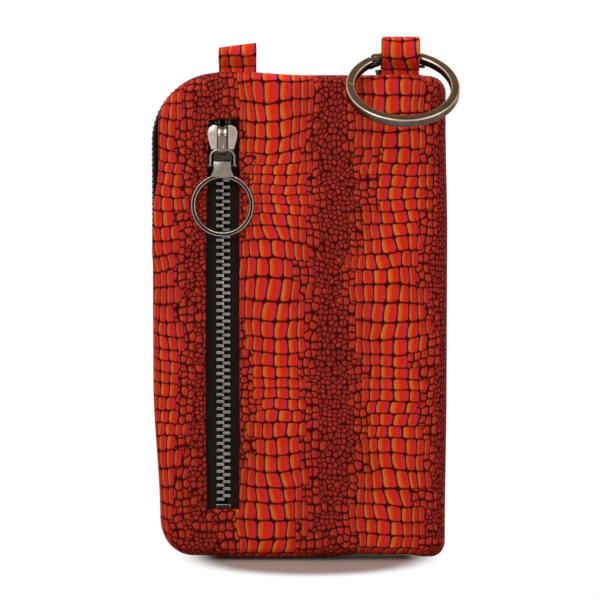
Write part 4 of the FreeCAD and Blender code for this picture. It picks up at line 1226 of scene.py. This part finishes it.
class POUCH_OT_front_zip(bpy.types.Operator):
    """Make the tapes, teeth and stops of the front pocket's zip"""
    bl_idname = "pouch.front_zip"
    bl_label = "Front zip"

    def execute(self, context):
        for word, side in (("left", -1), ("right", 1)):
            front_tape("front_zip_tape_" + word, side)
            front_teeth("front_zip_teeth_" + word, side)
        polished_copy("front_zip_top_stops", "pouch", "tooth_metal", finish="dark_metal")
        polished_copy("front_zip_bottom_stop", "pouch", "tooth_metal", finish="dark_metal")
        return {"FINISHED"}


# Slider and pull

# The bridge on the slider: its foot's level, half its width, half the width of its crown's notch,
# where the crown slopes away, and the height below which the slider gets painted shade for the bail's
# shadow.
BRIDGE_FOOT = -10.65
BRIDGE_HALF = 1.5
NOTCH_HALF = 0.7
CROWN_FOOT = 157.2
SLIDER_TAIL = 152.6
# How far beside the bridge, and above and below its foot, the slider's painted shade and highlight
# change.
TONE_BESIDE, TONE_LEVEL = 0.6, 0.4
PULL_LOW, PULL_HIGH = local_box("ring_pull")
STEM_FOOT = PULL_LOW.z + PULL_HIGH.x - PULL_LOW.x
# The bail's wire: width and thickness of its flat bar and the radius of its shoulders.
BAIL_WIDE, BAIL_THICK = 1.35, 0.86
BAIL_SHOULDER = 2.6


def bail_wire():
    """The arched wire between slider and pull: flat bar, round shoulders, straight legs."""
    low, high = local_box("pull_bail")
    middle = (low + high) / 2
    half = (high.x - low.x) / 2 - 0.6
    top = high.z - 0.8
    leg = [(half, low.z + 0.5)]
    steps = 8
    for step in range(steps + 1):
        turn = QUARTER * step / steps
        leg.append((half - BAIL_SHOULDER * (1 - math.cos(turn)),
                    top - BAIL_SHOULDER + BAIL_SHOULDER * math.sin(turn)))
    path = [Vector((middle.x - aside, middle.y, height)) for aside, height in leg]
    path += [Vector((middle.x + aside, middle.y, height)) for aside, height in reversed(leg)]
    across = Vector((0, 1, 0))
    section = rounded_section(BAIL_WIDE, BAIL_THICK, 5)
    piece = sweep("pull_bail_wire", path, ups_beside(path, -across), across, section)
    return dress(piece, "bright_nickel", "pull_bail", "pull_bail", finish="tooth_metal")


def slider_light_and_shade(spot, normal, rounded):
    """Painted light on the slider: painted highlight on shoulders and crown, painted shade beside the
    bridge, inside the bail, in the notch and on side and lower faces.
    """
    aside = abs(spot.x - ZIP_X)
    # Painted shade beside the bridge and inside the bail; painted highlight at the bridge's foot.
    if spot.y > BRIDGE_FOOT - TONE_LEVEL:
        if spot.z < SLIDER_TAIL or aside < BRIDGE_HALF + TONE_BESIDE:
            return 0.06
        return 1.0 if spot.y < BRIDGE_FOOT + TONE_LEVEL else 0.4
    # Painted shade on side and downward faces.
    if abs(normal.x) > 0.9 or normal.z < -0.6:
        return 0.1
    # Painted highlight on the crown, painted shade in its notch.
    if spot.z > CROWN_FOOT:
        return 0.2 if aside < NOTCH_HALF and not rounded else 1.0
    return 0.75 if rounded else 0.4


def pull_light_and_shade(spot, normal, rounded):
    """Dark flat faces on the ring between painted highlights on its edges and walls, satin metal on
    the stem.
    """
    if spot.z > STEM_FOOT:
        return 0.55
    # Painted highlight on rounded edges and walls; flat faces left dark.
    return 0.0 if abs(normal.y) > 0.9 and not rounded else 0.9


class POUCH_OT_front_slider(bpy.types.Operator):
    """Make the bright slider of the front zip with its bail and ring pull"""
    bl_idname = "pouch.front_slider"
    bl_label = "Front slider and ring pull"

    def execute(self, context):
        across = Vector((1, 0, 0))
        upward = Vector((0, 0, 1))
        cuts = [((ZIP_X + side * reach, 0, 0), across)
                for side in (-1, 1) for reach in (NOTCH_HALF, BRIDGE_HALF + TONE_BESIDE)]
        cuts += [((0, 0, SLIDER_TAIL), upward), ((0, 0, CROWN_FOOT), upward)]
        polished_copy("front_slider", "front_slider", "bright_nickel", 0.32, "pull_metal",
                      slider_light_and_shade, cuts)
        bail_wire()
        polished_copy("pull_rivet", "pull_bail", "bright_nickel", 0.12, "dark_metal")
        polished_copy("ring_pull", "ring_pull", "bright_nickel", 0.2, "pull_metal", pull_light_and_shade)
        return {"FINISHED"}


# Main zip

# Root of a tooth from the middle of the zip. The row is in two parts: the slider opens the first,
# along the top edge; the second stays closed round the corner.
MAIN_ROOT = 2.0
# The line of the zip: how far it lies inside the outline, where the chain starts behind the closed
# slider, how far the zip sinks at its right end, and points on its top and corner and on its side.
ZIP_INSET = 1.0
CHAIN_START = 33.0
ZIP_SINK = 1.1
TOP_STEPS, SIDE_STEPS = 30, 20
# Middle, width and thickness of a tape across the zip.
MAIN_TAPE_AT, MAIN_TAPE_WIDE, MAIN_TAPE_THICK = 2.9, 1.75, 0.75


def zip_line():
    """The main zip's line inside the outline: along the top, round the corner, down the left."""
    radius = CORNERS[3]
    corner = Vector((radius - HALF_WIDE, 0, TALL - radius))
    path = []
    ups = []
    for step in range(TOP_STEPS + 1):
        share = step / TOP_STEPS
        sink = ZIP_SINK * ramp(step, TOP_STEPS, TOP_STEPS - 10)
        x = ZIP_RIGHT + (corner.x - ZIP_RIGHT) * share
        path.append(Vector((x, 0, TALL - ZIP_INSET - sink)))
        ups.append(Vector((0, 0, 1)))
    for step in range(1, TOP_STEPS + 1):
        turn = QUARTER * step / TOP_STEPS
        up = Vector((-math.sin(turn), 0, math.cos(turn)))
        path.append(corner + up * (radius - ZIP_INSET))
        ups.append(up)
    for step in range(1, SIDE_STEPS + 1):
        height = corner.z + (ZIP_FOOT - corner.z) * step / SIDE_STEPS
        path.append(Vector((ZIP_INSET - HALF_WIDE, 0, height)))
        ups.append(Vector((-1, 0, 0)))
    return path, ups


def main_tape(name, side):
    """Half of the main zip's tape, rim to chain, following the edge of the pouch."""
    path, ups = zip_line()
    section = [(side * MAIN_TAPE_AT + aside, above)
               for aside, above in rounded_section(MAIN_TAPE_WIDE, MAIN_TAPE_THICK)]
    piece = sweep(name + "_weave", path, ups, Vector((0, 1, 0)), section)
    return dress(piece, "zip_tape", "pouch", name)


def zip_curve():
    """The main zip's line as a curve, from the closed slider's wedge to its foot."""
    path, _ = zip_line()
    spots = [at(*spot) for spot in path if spot.x < CHAIN_START]
    spots.insert(0, at(CHAIN_START, 0, path[0].z))
    data = bpy.data.curves.new("main_zip_line", "CURVE")
    data.dimensions = "3D"
    line = data.splines.new("POLY")
    line.points.add(len(spots) - 1)
    for point, spot in zip(line.points, spots):
        point.co = (*spot, 1.0)
    return add_object("main_zip_line", data)


def main_teeth(node, part, side, skip, count, line):
    """Part of a row of moulded teeth along the main zip, half a pitch from the other row."""
    pitch = bpy.context.scene.pouch_sizes.main_pitch
    root = MAIN_ROOT
    profile = [(-0.35, -0.7), (0.2, -1.2), (root - 0.3, -1.2), (root, -0.8), (root, 0.8),
               (root - 0.3, 1.2), (0.2, 1.2), (-0.35, 0.7)]
    piece = tooth_mesh(f"{node}_{part}_moulded", profile, 0.95, 0.14)
    piece.data.transform(Matrix(((0, 0, 1, 0), (side, 0, 0, 0), (0, 1, 0, 0), (0, 0, 0, 1))))
    face_outwards(piece)
    first = (pitch / 2 if side > 0 else pitch) + skip * pitch
    inputs = {"Path": "Object", "First": "Float", "Pitch": "Float", "Count": "Int"}
    repeat(piece, repeat_tree("tooth_path", inputs, path_points), Path=line, First=first * MM,
           Pitch=pitch * MM, Count=count, Material=finishes(bpy.context.scene)["black_nylon"])
    return dress(piece, "black_nylon", "pouch", node)


class POUCH_OT_main_zip(bpy.types.Operator):
    """Make the main zip round the top left corner: tapes, teeth, stop, slider and pull"""
    bl_idname = "pouch.main_zip"
    bl_label = "Main zip"

    def execute(self, context):
        line = zip_curve()
        for word, side, top, beyond in (("front", -1, 28, 40), ("back", 1, 29, 40)):
            main_tape("main_zip_tape_" + word, side)
            node = "main_zip_teeth_" + word
            opening = main_teeth(node, "top", side, 0, top, line)
            root = at(0, side * MAIN_ROOT, TALL)
            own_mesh(opening)
            main_teeth(node, "side", side, top, beyond, line)
        bpy.data.objects.remove(line)
        polished_copy("main_zip_stop", "pouch", "black_nylon")
        polished_copy("main_slider", "main_slider", "gunmetal")
        polished_copy("main_pull", "main_pull", "gunmetal", 0.15)
        return {"FINISHED"}


# Strap tabs

# Depth of the seam that holds a tab, half the gap between its layers, the thickness of a layer, and
# how far below the top edge the layers begin to part.
TAB_SEAM = -5.0
TAB_LAYER = 0.6
TAB_THICK = 1.08
TAB_PART = 2.0


def tab_loop(node, eye_y, eye_z, radius, slack, slant, cloth_from):
    """A folded loop of cloth: two layers in the seam that part round the eye."""
    low, high = local_box(node)
    middle = middle_x(node)
    bend = radius + TAB_LAYER
    steps = 8
    bend_steps = 16

    def layer(side):
        home, away = TAB_SEAM + side * TAB_LAYER, eye_y + side * bend
        line = [Vector((middle, home, low.z + above)) for above in (0.4, 4.0)]
        for step in range(steps + 1):
            share = step / steps
            height = TALL - TAB_PART + (eye_z - TALL + 1.4) * share
            line.append(Vector((middle, home + (away - home) * ease(share) ** 3, height)))
        return line

    path = layer(-1)
    for step in range(bend_steps + 1):
        turn = math.pi - math.pi * step / bend_steps
        path.append(Vector((middle, eye_y + bend * math.cos(turn),
                            eye_z + slack + bend * math.sin(turn))))
    path += reversed(layer(1))
    across = Vector((1, 0, 0))
    section = rounded_section(2 * TAB_HALF - 0.2, TAB_THICK)
    piece = sweep(node + "_loop", path, ups_beside(path, across), across, section, cloth_from)
    crown = at(0, 0, TALL).z
    for vertex in piece.data.vertices:
        above = max(vertex.co.z - crown, 0.0) / (high.z - TALL) / MM
        vertex.co.z += slant * above * (vertex.co.x - at(middle, 0, 0).x) / TAB_HALF
    dress(piece, "printed_cloth", "pouch", node)
    strip = sum((after - before).length for before, after in zip(path, path[1:]))
    return piece


class POUCH_OT_tabs(bpy.types.Operator):
    """Make the two folded strap tabs in the top seam"""
    bl_idname = "pouch.tabs"
    bl_label = "Strap tabs"

    def execute(self, context):
        tab_loop("left_strap_tab", -5.7, 187.4, 2.4, 0.0, 0.9, (-11.0, 60.0))
        tab_loop("right_strap_tab", -6.8, 186.3, 3.7, 2.8, 0.0, (-9.0, 20.0))
        return {"FINISHED"}


# Gate ring

# The ring hangs forwards over the panel, tilted from the level.
RING_TILT = math.radians(42.0)
RING_AXLE = Vector((0.0, -math.sin(RING_TILT), math.cos(RING_TILT)))
RING_MIDDLE = sum(local_box("ring_body"), Vector()) / 2


def ring_light_and_shade(spot, normal, rounded):
    """Painted highlight on the narrow chamfers, dark brown faces, and an outer wall painted lighter
    than the inner wall, which is left in painted shade.
    """
    lean = abs(normal.dot(RING_AXLE))
    # Painted highlight on the chamfers.
    if 0.3 < lean < 0.9:
        return 1.0
    if lean >= 0.9:
        return 0.3 if rounded else 0.0
    # Outer wall painted lighter, inner wall left in painted shade.
    return 0.22 if normal.dot(spot - RING_MIDDLE) > 0 else 0.0


class POUCH_OT_gate_ring(bpy.types.Operator):
    """Make the gunmetal ring with its spring gate, hinge pin and leaf"""
    bl_idname = "pouch.gate_ring"
    bl_label = "Gate ring"

    def execute(self, context):
        polished_copy("ring_body", "gate_ring", "gunmetal", 0.12, tone=ring_light_and_shade)
        polished_copy("ring_gate", "ring_gate", "gunmetal", 0.12, tone=ring_light_and_shade)
        polished_copy("ring_hinge_pin", "gate_ring", "bright_nickel", 0.12, "gunmetal")
        bend = ("ring_gate", at(29.4, -9.4, 184.2), at(26.4, -11.0, 182.6))
        polished_copy("ring_gate_spring", "gate_ring", "gunmetal", 0.0, "dark_metal", bend=bend)
        return {"FINISHED"}


# Stage

WHITE = (1.0, 1.0, 1.0, 1.0)
SOFT_LIGHT = 0.36
# The patch of floor painted a darker shadow colour, where the lamps' real shadow also falls: its
# middle in the pouch's millimetres, and half its size in metres.
SHADE_MIDDLE = (4, 0, 0)
SHADE_REACH = (0.05, 0.038)
FLOOR_HALF = 1.5
FLOOR_GAP = 0.4
# The lamps aim at one point: name, place from there in metres, size in metres, watts.
LAMP_TARGET = (0, -10, 95)
LAMPS = (
    ("key", (-0.35, -0.6, 0.55), 0.5, 4.3),
    ("fill", (0.55, -0.5, 0.15), 0.6, 1.55),
    ("top", (0.0, 0.1, 0.7), 0.6, 2.6),
    ("back", (0.25, 0.65, 0.4), 0.5, 2.4),
)
# The camera's target, its distance in metres, its field of view and its rise above the level.
VIEW_TARGET = (0.0, -11, 97.2)
VIEW_AWAY = 0.62
VIEW_ANGLE = math.radians(20.2)
VIEW_RISE = math.radians(3.0)


def seen_by_eye(nodes):
    """1 for the rays by which the background is seen: straight, mirrored or passed through."""
    path = nodes.node("LightPath", {}, {})
    straight, mirrored, passed = (Amount(nodes, path.outputs[f"Is {kind} Ray"])
                                  for kind in ("Camera", "Glossy", "Transmission"))
    return straight + mirrored + passed


def backdrop_material(shade):
    """A pale floor painted a darker shadow colour near the pouch, where the lamps' real shadow also
    shows, and white to the eye elsewhere.
    """
    pale = Finish("backdrop", Roughness=0.9)
    # Painted shadow: the floor's own colour is darkened near the pouch.
    pale.shade(Base_Color=rgba(shade))
    aside = pale.vector("SUBTRACT", pale.object_place(), tuple(at(*SHADE_MIDDLE)))
    wide, deep = SHADE_REACH
    shaded = pale.vector("MULTIPLY", aside, (1 / wide, 1 / deep, 0.0))
    far = pale.node("VectorMath", {"operation": "LENGTH"}, {0: shaded})
    fade = Amount(pale, far.outputs["Value"]).step(0.7, 1.0)
    lift = pale.node("Emission", {}, {"Color": WHITE, "Strength": 1.0})
    blend = pale.node("MixShader", {}, {0: seen_by_eye(pale) * fade, 1: pale.shader.outputs[0],
                                        2: lift.outputs[0]})
    pale.feed(pale.output.inputs["Surface"], blend.outputs[0])
    return pale.material


def studio_world():
    """White to the eye and in reflections, plain soft light on the object."""
    world = bpy.data.worlds.new("studio")
    world.use_nodes = True
    light = NodeMaker(world.node_tree, "ShaderNode")
    soft, white = (light.node("Background", {}, {"Color": WHITE, "Strength": strength})
                   for strength in (SOFT_LIGHT, 1.0))
    blend = light.node("MixShader", {}, {0: seen_by_eye(light), 1: soft.outputs[0],
                                         2: white.outputs[0]})
    light.node("OutputWorld", {}, {"Surface": blend.outputs[0]})
    return world


def aimed(name, data, place, target):
    """A lamp or camera at a place, turned to its target."""
    holder = add_object(name, data)
    holder.location = place
    holder.rotation_euler = (target - place).to_track_quat("-Z", "Y").to_euler()
    return holder


class POUCH_OT_stage(bpy.types.Operator):
    """Set the pale floor, the lamps, the background and the camera"""
    bl_idname = "pouch.stage"
    bl_label = "Stage"

    def execute(self, context):
        scene = context.scene
        scene.view_settings.view_transform = "Standard"
        scene.world = studio_world()
        signs = ((-1, -1), (1, -1), (1, 1), (-1, 1))
        level = at(0, 0, -FLOOR_GAP).z
        corners = [(FLOOR_HALF * x, FLOOR_HALF * y, level) for x, y in signs]
        floor = new_piece("floor", corners, [(0, 1, 2, 3)])
        floor.data.materials.append(backdrop_material(scene.pouch_colours.backdrop))
        floor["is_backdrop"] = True
        target = at(*LAMP_TARGET)
        for name, offset, size, watts in LAMPS:
            lamp = bpy.data.lights.new(name, "AREA")
            lamp.size = size
            lamp.energy = watts
            aimed(name, lamp, target + Vector(offset), target)
        view = bpy.data.cameras.new("camera")
        view.sensor_fit = "HORIZONTAL"
        view.angle = VIEW_ANGLE
        view.clip_start = 0.01
        target = at(*VIEW_TARGET)
        away = Vector((0, -math.cos(VIEW_RISE), math.sin(VIEW_RISE))) * VIEW_AWAY
        scene.camera = aimed("camera", view, target + away, target)
        return {"FINISHED"}


class POUCH_PT_makers(bpy.types.Panel):
    """The makers of the pouch's pieces, in order"""
    bl_idname = "POUCH_PT_makers"
    bl_label = "Phone pouch"
    bl_space_type = "VIEW_3D"
    bl_region_type = "UI"
    bl_category = "Pouch"

    def draw(self, context):
        for maker in MAKERS:
            self.layout.operator(maker.bl_idname)
        for group in (context.scene.pouch_sizes, context.scene.pouch_colours):
            for name in group.__annotations__:
                self.layout.prop(group, name)


MAKERS = (
    POUCH_OT_panels, POUCH_OT_linings, POUCH_OT_front_zip, POUCH_OT_front_slider, POUCH_OT_main_zip,
    POUCH_OT_tabs, POUCH_OT_gate_ring, POUCH_OT_stage,
)
CLASSES = (PouchSizes, PouchColours) + MAKERS + (POUCH_PT_makers,)


def register():
    for item in CLASSES:
        bpy.utils.register_class(item)
    bpy.types.Scene.pouch_sizes = bpy.props.PointerProperty(type=PouchSizes)
    bpy.types.Scene.pouch_colours = bpy.props.PointerProperty(type=PouchColours)


def unregister():
    del bpy.types.Scene.pouch_colours
    del bpy.types.Scene.pouch_sizes
    for item in reversed(CLASSES):
        bpy.utils.unregister_class(item)


def main():
    register()
    bpy.ops.pouch.panels()
    bpy.ops.pouch.linings()
    bpy.ops.pouch.front_zip()
    bpy.ops.pouch.front_slider()
    bpy.ops.pouch.main_zip()
    bpy.ops.pouch.tabs()
    bpy.ops.pouch.gate_ring()
    bpy.ops.pouch.stage()
    boxes = {"cad": CAD_BOX, "visual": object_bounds()}
    plain = {name: [list(corner) for corner in box] for name, box in boxes.items()}


if __name__ == "__main__":
    main()
